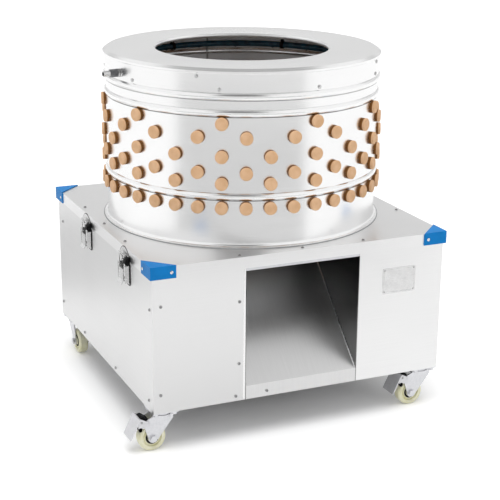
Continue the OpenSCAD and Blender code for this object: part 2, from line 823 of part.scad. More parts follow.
// Brake pedal: two arms on the fork's stubs, a foot plate and the shoe bar in front of the tread
pedal_gap = 0.5;
pedal_arm = 2;
shoe_r = 3;
shoe_gap = 3.6;
module pedal() {
    arm_y = fork_in + fork_t + pedal_gap + pedal_arm / 2;
    shoe_d = wheel_r + shoe_gap + shoe_r;
    shoe = [-shoe_d * cos(40), shoe_d * sin(40)];
    arm = [
        [pedal_pin[0] + 3, pedal_pin[1] - 5], [pedal_pin[0] + 3, pedal_pin[1] + 5],
        [pedal_top[0] + pedal_t, pedal_top[1]], [pedal_top[0] - 3, pedal_top[1] - 6],
        [shoe[0] - 4, shoe[1] + 1]
    ];
    translate([-trail, 0, wheel_r]) {
        for (s = [-1, 1]) across(pedal_arm, s * arm_y) difference() {
            union() {
                polygon(arm);
                translate(pedal_pin) circle(r = 6);
                translate(shoe) circle(r = shoe_r + 1);
            }
            translate(pedal_pin) circle(r = pedal_pin_r + run);
        }
        across(pedal_w) polygon([
            pedal_top, pedal_end,
            [pedal_end[0] + pedal_t, pedal_end[1]], [pedal_top[0] + pedal_t, pedal_top[1]]
        ]);
        translate([shoe[0], 0, shoe[1]]) rotate([90, 0, 0])
            cylinder(r = shoe_r, h = 2 * arm_y, center = true);
    }
}

// Places a castor: the braked front ones trail to the left, the plain rear ones to the front
castor_turn = [0, 0, 90, 90];
module at_castor(i) {
    on_axis() translate([castor_spots[i][0] * castor_x, castor_spots[i][1] * castor_y, 0])
        rotate([0, 0, castor_turn[i]]) children();
}

module castor_fork_fl() {
    color(zinc) at_castor(0) fork(true);
}

module castor_fork_fr() {
    color(zinc) at_castor(1) fork(true);
}

module castor_fork_bl() {
    color(zinc) at_castor(2) fork(false);
}

module castor_fork_br() {
    color(zinc) at_castor(3) fork(false);
}

module castor_wheel_fl() {
    color(nylon) at_castor(0) wheel();
}

module castor_wheel_fr() {
    color(nylon) at_castor(1) wheel();
}

module castor_wheel_bl() {
    color(nylon) at_castor(2) wheel();
}

module castor_wheel_br() {
    color(nylon) at_castor(3) wheel();
}

module castor_pedal_fl() {
    color(zinc) at_castor(0) pedal();
}

module castor_pedal_fr() {
    color(zinc) at_castor(1) pedal();
}

// Switch box on the back, with a hole for each button
module switch_box() {
    hole_h = button_in + button_travel + 1;
    color(cast) on_axis() difference() {
        translate([switch_x - switch_w / 2, half_d, switch_z]) cube([switch_w, switch_d, switch_h]);
        for (z = [start_z, stop_z]) translate([switch_x, half_d + switch_d - hole_h, z]) rotate([-90, 0, 0])
            cylinder(r = button_r + button_gap, h = hole_h + 1);
    }
}

// A push button standing out of its hole
module button(z) {
    l = button_in + button_out;
    on_axis() translate([switch_x, half_d + switch_d - button_in, z]) rotate([-90, 0, 0])
        rotate_extrude() polygon([[0, 0], [button_r, 0], [button_r, l - 1], [button_r - 1, l], [0, l]]);
}

module start_button() {
    color("green") button(start_z);
}

module stop_button() {
    color("red") button(stop_z);
}

// Cover: a folded sheet with a skirt and the drum's hole
module top_cover() {
    color(steel) on_axis() difference() {
        translate([-cover_hw, -cover_hd, skirt_low]) cube([2 * cover_hw, 2 * cover_hd, skirt_h]);
        translate([-cover_hw + cover_t, -cover_hd + cover_t, skirt_low - 1])
            cube([2 * (cover_hw - cover_t), 2 * (cover_hd - cover_t), skirt_h - cover_t + 1]);
        cylinder(r = drum_in, h = cover_top + 1);
    }
}

// Drum wall: a rolled sheet with beads, a flared foot and a hole for each finger
foot_r = 8;
shell_h = drum_h - 10;
inlet_angle = -82;
inlet_z = drum_h - 29;
inlet_pipe_r = 6;
module inlet_hole() {
    on_wall(inlet_angle, drum_in - 10, inlet_z) cylinder(r = inlet_pipe_r + seat, h = 30);
}

module drum_shell() {
    foot = [for (a = [0:22.5:90]) [drum_r + foot_r * (1 - sin(a)), drum_t + foot_r * (1 - cos(a))]];
    color(steel) on_axis() translate([0, 0, cover_top]) difference() {
        rotate_extrude() polygon(concat(
            [[drum_in, 0], [drum_r + foot_r, 0]], foot,
            bead_points(drum_r, bead_low), bead_points(drum_r, bead_mid),
            [[drum_r, shell_h], [drum_in, shell_h]],
            reversed(bead_points(drum_in, bead_mid)), reversed(bead_points(drum_in, bead_low))
        ));
        for (f = wall_fingers) on_wall(f[0], drum_r + 5, f[1])
            translate([0, 0, -20]) cylinder(r = neck_d / 2 + seat, h = 20);
        inlet_hole();
    }
}

// Drum head: a beaded collar over the wall's top, a bevelled rim and the lid with a rolled mouth
collar_in = drum_r + 0.2;
collar_out = collar_in + 1.2;
collar_low = bead_top - bead_w - 3;
rim_r = collar_out + 3.6;
lid_top = drum_h + 5;
lid_t = 1.5;
roll_r = 5;
module drum_head() {
    mouth_r = mouth_d / 2;
    mouth_roll = [
        for (a = [90:22.5:270]) [mouth_r + roll_r + roll_r * cos(a), lid_top - roll_r + roll_r * sin(a)]
    ];
    color(steel) on_axis() translate([0, 0, cover_top]) difference() {
        rotate_extrude() polygon(concat(
            [[collar_in, collar_low], [collar_out, collar_low]], bead_points(collar_out, bead_top),
            [[collar_out, drum_h - 6], [rim_r, drum_h - 4], [rim_r, drum_h], [rim_r - 8, lid_top]],
            mouth_roll,
            [[mouth_r + 2 * roll_r, lid_top - roll_r], [mouth_r + 2 * roll_r, lid_top - lid_t]],
            [[rim_r - 9, lid_top - lid_t], [collar_in, drum_h]],
            reversed(bead_points(collar_in, bead_top))
        ));
        inlet_hole();
    }
}

// Rubber fingers of the drum
module drum_fingers() {
    color(rubber) on_axis() for (f = wall_fingers) on_wall(f[0], drum_r, cover_top + f[1])
        finger(drum_t + flange_drop);
}

// Water ring under the lid, its clips and its inlet
ring_r = 262;
ring_tube_r = 7;
module water_ring() {
    color("midnightblue") on_axis() translate([0, 0, cover_top + inlet_z]) rotate_extrude()
        translate([ring_r, 0]) circle(r = ring_tube_r);
}

module ring_clips() {
    clip_h = lid_top - lid_t - inlet_z;
    clip_w = 16;
    clip_side = 4;
    clip_under = 3;
    clip_gap = 0.2;
    color(black) on_axis() translate([0, 0, cover_top + inlet_z]) difference() {
        for (a = [-165:60:135]) rotate([0, 0, a])
            translate([-clip_w / 2, -ring_r - ring_tube_r - clip_side, -ring_tube_r - clip_under])
                cube([clip_w, 2 * (ring_tube_r + clip_side), clip_h + ring_tube_r + clip_under - clip_gap]);
        rotate_extrude() translate([ring_r, 0]) circle(r = ring_tube_r + seat);
    }
}

hex_from = collar_out + 0.8;
hex_t = 3;
nut_from = hex_from + hex_t;
nut_l = 17;
tail_l = 15;
tail_r = 6.5;
module inlet_fitting() {
    pipe_from = ring_r + ring_tube_r + 0.2;
    color(cast) on_axis() on_wall(inlet_angle, 0, cover_top + inlet_z) {
        translate([0, 0, pipe_from]) cylinder(r = inlet_pipe_r, h = nut_from + nut_l - pipe_from);
        translate([0, 0, hex_from]) hexagon(17, hex_t);
        translate([0, 0, nut_from + nut_l]) cylinder(r = tail_r, h = tail_l);
    }
}

module inlet_nut() {
    knurls = 24;
    color(zinc) on_axis() on_wall(inlet_angle, nut_from + seat, cover_top + inlet_z) difference() {
        cylinder(r = 8.5, h = nut_l - 2 * seat);
        translate([0, 0, -1]) cylinder(r = inlet_pipe_r + seat, h = nut_l + 2);
        for (i = [0:knurls - 1]) rotate([0, 0, i * 360 / knurls]) translate([8.5, 0, -1])
            cylinder(r = 0.5, h = nut_l + 2, $fn = 4);
    }
}

// Rivets: collar to drum wall, clips to collar, and corner guards to skirt
collar_rivet_z = bead_top + bead_w + 8;
clip_rivet_z = drum_h - 12;
rivet_d = 8;
rivet_t = 2.5;
module cover_rivets() {
    color(zinc) on_axis() {
        for (a = [8:40:328]) on_wall(a, collar_out + seat, cover_top + collar_rivet_z) dome(rivet_d, rivet_t);
        for (a = [49:90:319]) on_wall(a, collar_out + seat, cover_top + clip_rivet_z) dome(rivet_d, rivet_t);
        for (sx = [-1, 1], sy = [-1, 1]) translate([0, 0, cover_top - skirt_h / 2]) {
            translate([sx * (cover_hw - guard_l + 10), sy * (cover_hd + guard_t), 0]) rotate([-sy * 90, 0, 0])
                dome(screw_d, screw_t);
            translate([sx * (cover_hw + guard_t), sy * (cover_hd - guard_l + 10), 0]) rotate([0, sx * 90, 0])
                dome(screw_d, screw_t);
        }
    }
}

// Screw heads along the cover's edges
screw_step = 142;
screw_in = 12;
module cover_screws() {
    color(zinc) on_axis() for (k = [-1:1], s = [-1, 1]) translate([0, 0, cover_top]) {
        translate([s * (cover_hw - screw_in), k * screw_step, 0]) dome(screw_d, screw_t);
        translate([k * screw_step, s * (cover_hd - screw_in), 0]) dome(screw_d, screw_t);
    }
}

// Corner guards: a triangle on the cover and two faces over the skirt
module corner_guard() {
    reach = guard_l + guard_t;
    translate([-guard_t, -guard_t, 0]) {
        translate([0, 0, cover_top]) linear_extrude(guard_t) polygon([[0, 0], [reach, 0], [0, reach]]);
        translate([0, 0, skirt_low]) cube([reach, guard_t, skirt_h]);
        translate([0, 0, skirt_low]) cube([guard_t, reach, skirt_h]);
    }
}

module corner_guards() {
    color(guard_blue) on_axis() for (sx = [0, 1], sy = [0, 1])
        mirror([sx, 0, 0]) mirror([0, sy, 0]) translate([-cover_hw, -cover_hd, 0]) corner_guard();
}

// Places children at the fingers of the spinning plate
module at_rotor_fingers() {
    for (ring = rotor_rings, i = [0:ring[1] - 1]) rotate([0, 0, i * 360 / ring[1]])
        translate([0, -ring[0], 0]) children();
}

// Spinning plate with a low crown, and its fingers
crown_r = 56;
crown_h = 6;
plate_flange_drop = 0.2;
module rotor_plate() {
    rim_h = 5;
    r = plate_d / 2;
    color(steel) on_axis() translate([0, 0, plate_z]) difference() {
        rotate_extrude() polygon([
            [spindle_r + 0.02, 0], [r - 4, 0], [r, -rim_h], [r, -rim_h + plate_t], [r - 3, plate_t],
            [crown_r, plate_t], [crown_r - 12, plate_t + crown_h], [spindle_r + 0.02, plate_t + crown_h]
        ]);
        at_rotor_fingers() translate([0, 0, -1]) cylinder(r = neck_d / 2 + seat, h = plate_t + 2);
    }
}

module rotor_fingers() {
    color(rubber) on_axis() translate([0, 0, plate_z]) at_rotor_fingers() mirror([0, 0, 1])
        finger(plate_t + plate_flange_drop);
}

// Blades under the plate's edge that sweep feathers round to the outlet
paddle_from = 205;
paddle_l = 66;
paddle_t = 4;
module rotor_paddles() {
    low = pan_top + pan_gap;
    color(rubber) on_axis() for (a = [45:90:315]) rotate([0, 0, a])
        translate([paddle_from, -paddle_t / 2, low]) cube([paddle_l, paddle_t, plate_z - low]);
}

hub_r = 50;
module rotor_hub() {
    hub_low = pan_top + pan_gap;
    color(cast) on_axis() difference() {
        translate([0, 0, hub_low]) cylinder(r = hub_r, h = plate_z - hub_low);
        cylinder(r = spindle_r + 0.02, h = cover_top + 100);
    }
}

spindle_end = plate_z + plate_t + crown_h + 16;
module hub_nut() {
    color(zinc) on_axis() translate([0, 0, plate_z + plate_t + crown_h]) difference() {
        hexagon(36, 14);
        translate([0, 0, -1]) cylinder(r = spindle_r + 0.02, h = 20);
    }
}

module spindle() {
    low = belt_z - pulley_t / 2 - 6;
    color(zinc) on_axis() translate([0, 0, low]) cylinder(r = spindle_r, h = spindle_end - low);
}

// Grooved pulley of outer radius r, bored for a shaft
module pulley(r, bore_r) {
    groove = belt_h + belt_in + 2.5;
    flank = belt_taper / belt_h;
    mouth = belt_w / 2 + belt_in * flank + 0.8;
    root = mouth - groove * flank;
    half = pulley_t / 2;
    rotate_extrude() polygon([
        [bore_r, -half], [r, -half], [r, -mouth], [r - groove, -root],
        [r - groove, root], [r, mouth], [r, half], [bore_r, half]
    ]);
}

module big_pulley() {
    hole_pcd = big_pulley_d * 0.55;
    color(cast) on_axis() translate([0, 0, belt_z]) difference() {
        pulley(big_pulley_d / 2, spindle_r + 0.02);
        for (a = [0:60:300]) rotate([0, 0, a]) translate([hole_pcd / 2, 0, -pulley_t])
            cylinder(r = 15, h = 2 * pulley_t);
    }
}

module motor_shaft() {
    low = belt_z - pulley_t / 2 - 4;
    color(zinc) on_axis() translate([motor_x, motor_y, low])
        cylinder(r = motor_shaft_r, h = motor_low + motor_shaft_in - low);
}

module small_pulley() {
    color(cast) on_axis() translate([motor_x, motor_y, belt_z])
        pulley(small_pulley_d / 2, motor_shaft_r + 0.02);
}

base_frame();
left_panel();
right_panel();
back_panel();
front_left_panel();
front_right_panel();
chute();
base_pan();
bearing_bridge();
spindle_housing();
spindle_bearings();
motor_body();
motor_bracket();
drive_belt();
frame_bolts();
panel_screws();
latch_bases();
hinge_base_leaves();
hinge_pins();
castor_plates();
switch_box();
top_cover();
drum_shell();
drum_head();
drum_fingers();
water_ring();
ring_clips();
inlet_fitting();
inlet_nut();
cover_rivets();
cover_screws();
corner_guards();
latch_keepers();
hinge_cover_leaves();
rotor_plate();
rotor_fingers();
rotor_paddles();
rotor_hub();
hub_nut();
spindle();
big_pulley();
motor_shaft();
small_pulley();
start_button();
stop_button();
latch_lever_rear();
latch_lever_front();
latch_bail_rear();
latch_bail_front();
castor_fork_fl();
castor_fork_fr();
castor_fork_bl();
castor_fork_br();
castor_wheel_fl();
castor_wheel_fr();
castor_wheel_bl();
castor_wheel_br();
castor_pedal_fl();
castor_pedal_fr();
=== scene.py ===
import bpy
import bmesh
import math
from mathutils import Matrix, Vector


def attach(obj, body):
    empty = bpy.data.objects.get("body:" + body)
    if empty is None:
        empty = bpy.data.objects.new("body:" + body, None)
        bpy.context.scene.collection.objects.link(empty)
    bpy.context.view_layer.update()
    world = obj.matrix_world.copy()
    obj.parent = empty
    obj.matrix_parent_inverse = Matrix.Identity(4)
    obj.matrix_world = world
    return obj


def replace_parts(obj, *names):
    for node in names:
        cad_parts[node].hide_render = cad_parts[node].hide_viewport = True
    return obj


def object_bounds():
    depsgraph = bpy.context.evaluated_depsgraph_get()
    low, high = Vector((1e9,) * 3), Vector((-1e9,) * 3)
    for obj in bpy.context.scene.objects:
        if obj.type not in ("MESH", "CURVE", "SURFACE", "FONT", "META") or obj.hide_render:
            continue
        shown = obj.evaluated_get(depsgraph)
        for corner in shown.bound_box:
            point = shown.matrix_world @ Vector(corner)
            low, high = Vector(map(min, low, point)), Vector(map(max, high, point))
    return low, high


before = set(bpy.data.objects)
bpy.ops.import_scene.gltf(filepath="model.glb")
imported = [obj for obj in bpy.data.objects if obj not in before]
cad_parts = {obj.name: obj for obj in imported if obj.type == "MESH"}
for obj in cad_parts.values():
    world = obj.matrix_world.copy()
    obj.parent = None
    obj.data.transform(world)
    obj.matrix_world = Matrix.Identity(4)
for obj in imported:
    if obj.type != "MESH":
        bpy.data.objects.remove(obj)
cadBox = [list(corner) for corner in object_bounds()]
print("frame loaded:", len(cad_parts), "nodes")

mm = 0.001
drumAxis = Vector((0.0175, -0.021, 0.0))   # sizes below are in mm from this axis and the floor


def linear(colour):
    parts = [int(colour[i:i + 2], 16) / 255 for i in (1, 3, 5)]
    return [c / 12.92 if c <= 0.04045 else ((c + 0.055) / 1.055) ** 2.4 for c in parts] + [1.0]


def spot(x, y, z):
    return drumAxis + Vector((x, y, z)) * mm


# a key is an input's name or number, or else one of the node's own settings
def addNode(tree, kind, settings=None, links=None):
    node = tree.nodes.new(kind)
    for key, value in (settings or {}).items():
        if isinstance(key, int) or key in node.inputs:
            node.inputs[key].default_value = value
        else:
            setattr(node, key, value)
    for key, socket in (links or {}).items():
        tree.links.new(socket, node.inputs[key])
    return node


# camera: long lens, a little above the lid, left of the front
camera = {
    "place": (-1.1427, -2.6896, 1.2239),
    "yaw": 23.93, "pitch": 17.506, "roll": 0.547,   # degrees
    "lens": 95.43, "sensor": 36.0, "clipEnd": 60.0,
}


def makeCamera():
    yaw, pitch, roll = (math.radians(camera[k]) for k in ("yaw", "pitch", "roll"))
    flat = math.cos(pitch)
    ahead = Vector((math.sin(yaw) * flat, math.cos(yaw) * flat, -math.sin(pitch)))
    level = Vector((math.cos(yaw), -math.sin(yaw), 0))
    upright = level.cross(ahead)
    right = level * math.cos(roll) + upright * math.sin(roll)
    up = upright * math.cos(roll) - level * math.sin(roll)
    data = bpy.data.cameras.new("camera")
    data.lens, data.sensor_width, data.clip_end = camera["lens"], camera["sensor"], camera["clipEnd"]
    eye = bpy.data.objects.new("camera", data)
    bpy.context.scene.collection.objects.link(eye)
    turn = Matrix((right, up, -ahead)).transposed().to_4x4()
    eye.matrix_world = Matrix.Translation(camera["place"]) @ turn
    bpy.context.scene.camera = eye


makeCamera()
print("camera set")


# studio: white floor and surround, soft light from all sides, and cards that only reflections see
studio = {
    "floorSide": 60.0, "floorColour": "#FAFAFA",
    "floorGlow": 0.22, "floorMirrored": 0.06,   # the paper's glow to the eye and in metal
    "shade": (334.0, 331.0), "shadeIn": 230.0, "shadeOut": -20.0,   # mm over which the glow fades under the cabinet: a painted shadow round its footprint
    "worldLight": 0.46, "lampStrength": 1.95, "lampAngle": 46.0, "lampFrom": (-0.08, -0.17, 0.98),
    "cardSteps": 24,
    # each card: middle and spread in degrees from the camera's side, then rings of reach, height and colour
    "cards": {
        # on the floor before the drum: the grey band down its middle
        "floorCard": (0.0, 51.0, [(1.45, 0.002, "#CFCFCF"), (5.0, 0.002, "#CFCFCF")]),
        # on the floor behind the left side: the grey of the left panel's upper half
        "sideCard": (-126.0, 22.0,
                     [(0.85, 0.002, "#F2F2F2"), (1.1, 0.002, "#E2E2E2"), (1.6, 0.002, "#DEDEDE")]),
        # upright behind the machine: the greys that slide over the cover and the lid
        "backCard": (180.0, 60.0,
                     [(2.6, 0.80, "#D2D2D2"), (2.6, 1.12, "#DADADA"), (2.6, 1.33, "#F4F4F4"),
                      (2.6, 1.47, "#F4F4F4"), (2.6, 1.72, "#C0C0C0"), (2.6, 2.1, "#C8C8C8")]),
        # dark room above the camera: the dark streak in the middle of each bead
        "roomCard": (0.0, 20.0, [(3.0, 1.25, "#7C7C7C"), (3.0, 5.2, "#7C7C7C")]),
        # overhead: the grey bevel at the front of the lid and the beads' upper slopes
        "topCard": (0.0, 180.0, [(0.02, 3.4, "#B8B8B8"), (1.8, 3.4, "#B8B8B8")]),
    },
}


def addObject(name, mesh, material):
    piece = bpy.data.objects.new(name, mesh)
    bpy.context.scene.collection.objects.link(piece)
    if material:
        mesh.materials.clear()
        mesh.materials.append(material)
    return piece


def seenRay(tree):
    path = addNode(tree, "ShaderNodeLightPath")
    shown = addNode(tree, "ShaderNodeMath", {"operation": "MAXIMUM"},
                    {0: path.outputs["Is Camera Ray"], 1: path.outputs["Is Glossy Ray"]})
    return addNode(tree, "ShaderNodeMath", {"operation": "MAXIMUM"},
                   {0: shown.outputs[0], 1: path.outputs["Is Transmission Ray"]}).outputs[0]


# a card is a strip of an arc round the drum's axis; each ring is (reach, height, colour)
def makeCard(name, middle, spread, rings):
    steps = studio["cardSteps"]
    points, faces = [], []
    for reach, height, _ in rings:
        for i in range(steps + 1):
            angle = middle + math.radians(spread) * (2 * i / steps - 1)
            points.append((drumAxis.x + reach * math.cos(angle),
                           drumAxis.y + reach * math.sin(angle), height))
    for k in range(len(rings) - 1):
        for i in range(steps):
            a = k * (steps + 1) + i
            faces.append((a, a + 1, a + steps + 2, a + steps + 1))
    mesh = bpy.data.meshes.new(name)
    mesh.from_pydata(points, [], faces)
    tint = mesh.attributes.new("tint", "FLOAT_COLOR", "POINT")
    for k, (_, _, colour) in enumerate(rings):
        for i in range(steps + 1):
            tint.data[k * (steps + 1) + i].color = linear(colour)
    material = bpy.data.materials.new(name)
    material.use_nodes = True
    tree = material.node_tree
    tree.nodes.clear()
    paint = addNode(tree, "ShaderNodeAttribute", {"attribute_name": "tint"})
    glow = addNode(tree, "ShaderNodeEmission", {}, {"Color": paint.outputs["Color"]})
    addNode(tree, "ShaderNodeOutputMaterial", {}, {"Surface": glow.outputs[0]})
    card = addObject(name, mesh, material)
    card.visible_camera = card.visible_diffuse = False   # reflections alone see it
    card.visible_shadow = card.visible_transmission = False


def makeStudio():
    scene = bpy.context.scene
    scene.view_settings.view_transform = "Standard"
    world = bpy.data.worlds.new("studio")
    world.use_nodes = True
    scene.world = world
    tree = world.node_tree
    tree.nodes.clear()
    strength = addNode(tree, "ShaderNodeMix", {2: studio["worldLight"], 3: 1.0}, {0: seenRay(tree)})
    light = addNode(tree, "ShaderNodeBackground", {"Color": (1, 1, 1, 1)},
                    {"Strength": strength.outputs[0]})
    addNode(tree, "ShaderNodeOutputWorld", {}, {"Surface": light.outputs[0]})

    paper = bpy.data.materials.new("matt white paper")   # holds the object's shadow, and a painted shadow where its glow fades under the cabinet
    paper.use_nodes = True
    tree = paper.node_tree
    tree.nodes.clear()
    matt = addNode(tree, "ShaderNodeBsdfDiffuse", {"Color": linear(studio["floorColour"])})
    place = addNode(tree, "ShaderNodeTexCoord").outputs["Object"]
    # the glow comes in past the cabinet's footprint, leaving a painted shadow under it
    past = []
    for side, keep in zip(studio["shade"], ((1, 0, 0), (0, 1, 0))):
        along = addNode(tree, "ShaderNodeVectorMath", {"operation": "MULTIPLY", 1: keep}, {0: place})
        reach = addNode(tree, "ShaderNodeVectorMath", {"operation": "LENGTH"}, {0: along.outputs[0]})
        dark, clear = (side - studio["shadeIn"]) * mm, (side - studio["shadeOut"]) * mm
        past.append(addNode(tree, "ShaderNodeMapRange", {"From Min": dark, "From Max": clear},
                            {"Value": reach.outputs["Value"]}).outputs[0])
    outside = addNode(tree, "ShaderNodeMath", {"operation": "MAXIMUM"}, {0: past[0], 1: past[1]})
    path = addNode(tree, "ShaderNodeLightPath").outputs
    seen = addNode(tree, "ShaderNodeMath", {"operation": "MULTIPLY", 1: studio["floorGlow"]},
                   {0: path["Is Camera Ray"]})
    mirrored = addNode(tree, "ShaderNodeMath", {"operation": "MULTIPLY", 1: studio["floorMirrored"]},
                       {0: path["Is Glossy Ray"]})
    both = addNode(tree, "ShaderNodeMath", {"operation": "ADD"},
                   {0: seen.outputs[0], 1: mirrored.outputs[0]})
    lift = addNode(tree, "ShaderNodeMath", {"operation": "MULTIPLY"},
                   {0: both.outputs[0], 1: outside.outputs[0]})
    glow = addNode(tree, "ShaderNodeEmission", {}, {"Strength": lift.outputs[0]})
    paperLook = addNode(tree, "ShaderNodeAddShader", {}, {0: matt.outputs[0], 1: glow.outputs[0]})
    addNode(tree, "ShaderNodeOutputMaterial", {}, {"Surface": paperLook.outputs[0]})
    half = studio["floorSide"] / 2
    mesh = bpy.data.meshes.new("floor")
    corners = [(-half, -half, 0), (half, -half, 0), (half, half, 0), (-half, half, 0)]
    mesh.from_pydata(corners, [], [(0, 1, 2, 3)])
    addObject("floor", mesh, paper)

    toCamera = math.atan2(camera["place"][1] - drumAxis.y, camera["place"][0] - drumAxis.x)
    for name, (middle, spread, rings) in studio["cards"].items():
        makeCard(name, toCamera + math.radians(middle), spread, rings)

    data = bpy.data.lights.new("softLight", "SUN")
    data.energy, data.angle = studio["lampStrength"], math.radians(studio["lampAngle"])
    lamp = bpy.data.objects.new("softLight", data)
    scene.collection.objects.link(lamp)
    lamp.visible_glossy = False
    lamp.rotation_euler = Vector(studio["lampFrom"]).to_track_quat("Z", "Y").to_euler()


makeStudio()
print("studio set")


def startMaterial(name, settings):
    material = bpy.data.materials.new(name)
    material.use_nodes = True
    tree = material.node_tree
    tree.nodes.clear()
    shader = addNode(tree, "ShaderNodeBsdfPrincipled", settings)
    addNode(tree, "ShaderNodeOutputMaterial", {}, {"Surface": shader.outputs[0]})
    place = addNode(tree, "ShaderNodeTexCoord").outputs["Object"]
    return material, tree, shader, place


# distance from an axis through a spot given in mm; "keep" is 0 along the axis
def reachFrom(tree, place, centre, keep):
    off = -spot(*centre)
    flat = addNode(tree, "ShaderNodeMapping",
                   {"Location": [o * k for o, k in zip(off, keep)], "Scale": keep}, {"Vector": place})
    return addNode(tree, "ShaderNodeVectorMath", {"operation": "LENGTH"},
                   {0: flat.outputs[0]}).outputs["Value"]


# a second tone that comes in as a value passes from one size in mm to another: painted shade in most uses,
# besides the pedals' rubber pads and the collar's darker rivets
def blendTone(tree, colour, value, start, end, secondTone, mode="MIX"):
    share = addNode(tree, "ShaderNodeMapRange", {"From Min": start * mm, "From Max": end * mm},
                    {"Value": value})
    return addNode(tree, "ShaderNodeMix", {"data_type": "RGBA", "blend_type": mode, 7: linear(secondTone)},
                   {0: share.outputs[0], 6: colour}).outputs[2]


# the span of each noise that is stretched over a finish, and the mm over which tones change at an edge
spans = {"metal": (0.7, 1.3), "cloud": (0.35, 0.65), "grit": (0.3, 0.7)}
softEdge = 0.1


# the two colours of a finish, mixed by one noise, and its roughness by another
def spreadFinish(tree, look, colourSpan, colourNoise, roughSpan, roughNoise):
    shade = addNode(tree, "ShaderNodeMapRange", {"From Min": colourSpan[0], "From Max": colourSpan[1]},
                    {"Value": colourNoise})
    tones = {"data_type": "RGBA", 6: linear(look["dark"]), 7: linear(look["light"])}
    colour = addNode(tree, "ShaderNodeMix", tones, {0: shade.outputs[0]})
    low, high = look["rough"]
    rough = addNode(tree, "ShaderNodeMapRange",
                    {"From Min": roughSpan[0], "From Max": roughSpan[1], "To Min": low, "To Max": high},
                    {"Value": roughNoise})
    return colour.outputs[2], rough.outputs[0]


# colour, roughness and a bump that follows a noise go on the shader
def coatShader(tree, shader, look, colour, rough, noise):
    bump = addNode(tree, "ShaderNodeBump", {"Strength": look["bump"], "Distance": look["bumpMm"] * mm},
                   {"Height": noise})
    tree.links.new(colour, shader.inputs["Base Color"])
    tree.links.new(rough, shader.inputs["Roughness"])
    tree.links.new(bump.outputs[0], shader.inputs["Normal"])


# sheet and bar metal: a grain that is long one way, slow waves, and a finish that follows the grain
def metalFinish(name, look):
    material, tree, shader, place = startMaterial(name, {"Metallic": 1.0})
    along = addNode(tree, "ShaderNodeMapping", {"Scale": [1 / (size * mm) for size in look["grainMm"]]},
                    {"Vector": place})
    grain = addNode(tree, "ShaderNodeTexNoise", {"Scale": 1.0, "Detail": 3.0}, {"Vector": along.outputs[0]})
    cloud = addNode(tree, "ShaderNodeTexNoise", {"Scale": 1 / (look["cloudMm"] * mm), "Detail": 2.0},
                    {"Vector": place})
    tone = addNode(tree, "ShaderNodeMath", {"operation": "ADD"},
                   {0: grain.outputs[0], 1: cloud.outputs[0]}).outputs[0]
    colour, rough = spreadFinish(tree, look, spans["metal"], tone, spans["metal"], tone)
    height = addNode(tree, "ShaderNodeSeparateXYZ", {}, {0: place}).outputs["Z"]
    for level, half, dark in look.get("creaseShade", []):   # dark lines in the creases under the beads: painted shade
        away = addNode(tree, "ShaderNodeMath", {"operation": "SUBTRACT", 1: level * mm}, {0: height})
        apart = addNode(tree, "ShaderNodeMath", {"operation": "ABSOLUTE"}, {0: away.outputs[0]})
        colour = blendTone(tree, colour, apart.outputs[0], half, half / 2, dark)
    if "inside" in look:   # another tone within a reach of the axis and under a height
        inside, shares = look["inside"], []
        reach = reachFrom(tree, place, (0, 0, 0), (1, 1, 0))
        for value, edge in ((reach, inside["reach"]), (height, inside["top"])):
            ends = {"From Min": (edge + softEdge) * mm, "From Max": edge * mm}
            shares.append(addNode(tree, "ShaderNodeMapRange", ends, {"Value": value}).outputs[0])
        share = addNode(tree, "ShaderNodeMath", {"operation": "MULTIPLY"},
                        {0: shares[0], 1: shares[1]}).outputs[0]
        colour = addNode(tree, "ShaderNodeMix", {"data_type": "RGBA", 7: linear(inside["colour"])},
                         {0: share, 6: colour}).outputs[2]
        rough = addNode(tree, "ShaderNodeMix", {3: inside["rough"]}, {0: share, 2: rough}).outputs[0]
    if "secondTone" in look:   # from one height to another: painted shade on the left front panel and the chute, a darker tone on the collar's rivets
        colour = blendTone(tree, colour, height, *look["secondTone"])
    if "walls" in look:   # darker past a distance to either side: painted shade on the chute's walls
        wall, dull = look["walls"]
        reach = reachFrom(tree, place, (0, 0, 0), (1, 0, 0))
        colour = blendTone(tree, colour, reach, wall - softEdge, wall, dull, "MULTIPLY")
    for centre, pad, dark in look.get("pads", []):   # rubber pads along Y
        reach = reachFrom(tree, place, centre, (1, 0, 1))
        colour = blendTone(tree, colour, reach, pad, pad - 2 * softEdge, dark)
    coatShader(tree, shader, look, colour, rough, tone)
    return material


# moulded plastic and rubber: clouds of colour, and a fine mould grain in the bump
def mouldedFinish(name, look):
    specular = look.get("specular", 0.5)   # 0.5 is the shader's own
    material, tree, shader, place = startMaterial(name, {"Specular IOR Level": specular})
    cloud = addNode(tree, "ShaderNodeTexNoise", {"Scale": 1 / (look["cloudMm"] * mm), "Detail": 4.0},
                    {"Vector": place})
    grit = addNode(tree, "ShaderNodeTexNoise", {"Scale": 1 / (look["gritMm"] * mm), "Detail": 2.0},
                   {"Vector": place}).outputs[0]
    colour, rough = spreadFinish(tree, look, spans["cloud"], cloud.outputs[0], spans["grit"], grit)
    if "sideShade" in look:   # darker sides below the trimmed faces: painted shade
        face, reach = look["faceReach"], reachFrom(tree, place, (0, 0, 0), (1, 1, 0))
        colour = blendTone(tree, colour, reach, face + look["sideShadeFade"], face, look["sideShade"])
    coatShader(tree, shader, look, colour, rough, grit)
    return material


# what sheets and pressings from one mill share
brightSheet = {"grainMm": (90, 90, 1.2), "cloudMm": 160, "bump": 0.02, "bumpMm": 0.2}
satinSheet = {"grainMm": (140, 1.0, 1.0), "cloudMm": 220, "rough": (0.31, 0.35),
              "bump": 0.02, "bumpMm": 0.1}
pressing = {"grainMm": (6, 6, 2), "cloudMm": 14, "bump": 0.04, "bumpMm": 0.1}

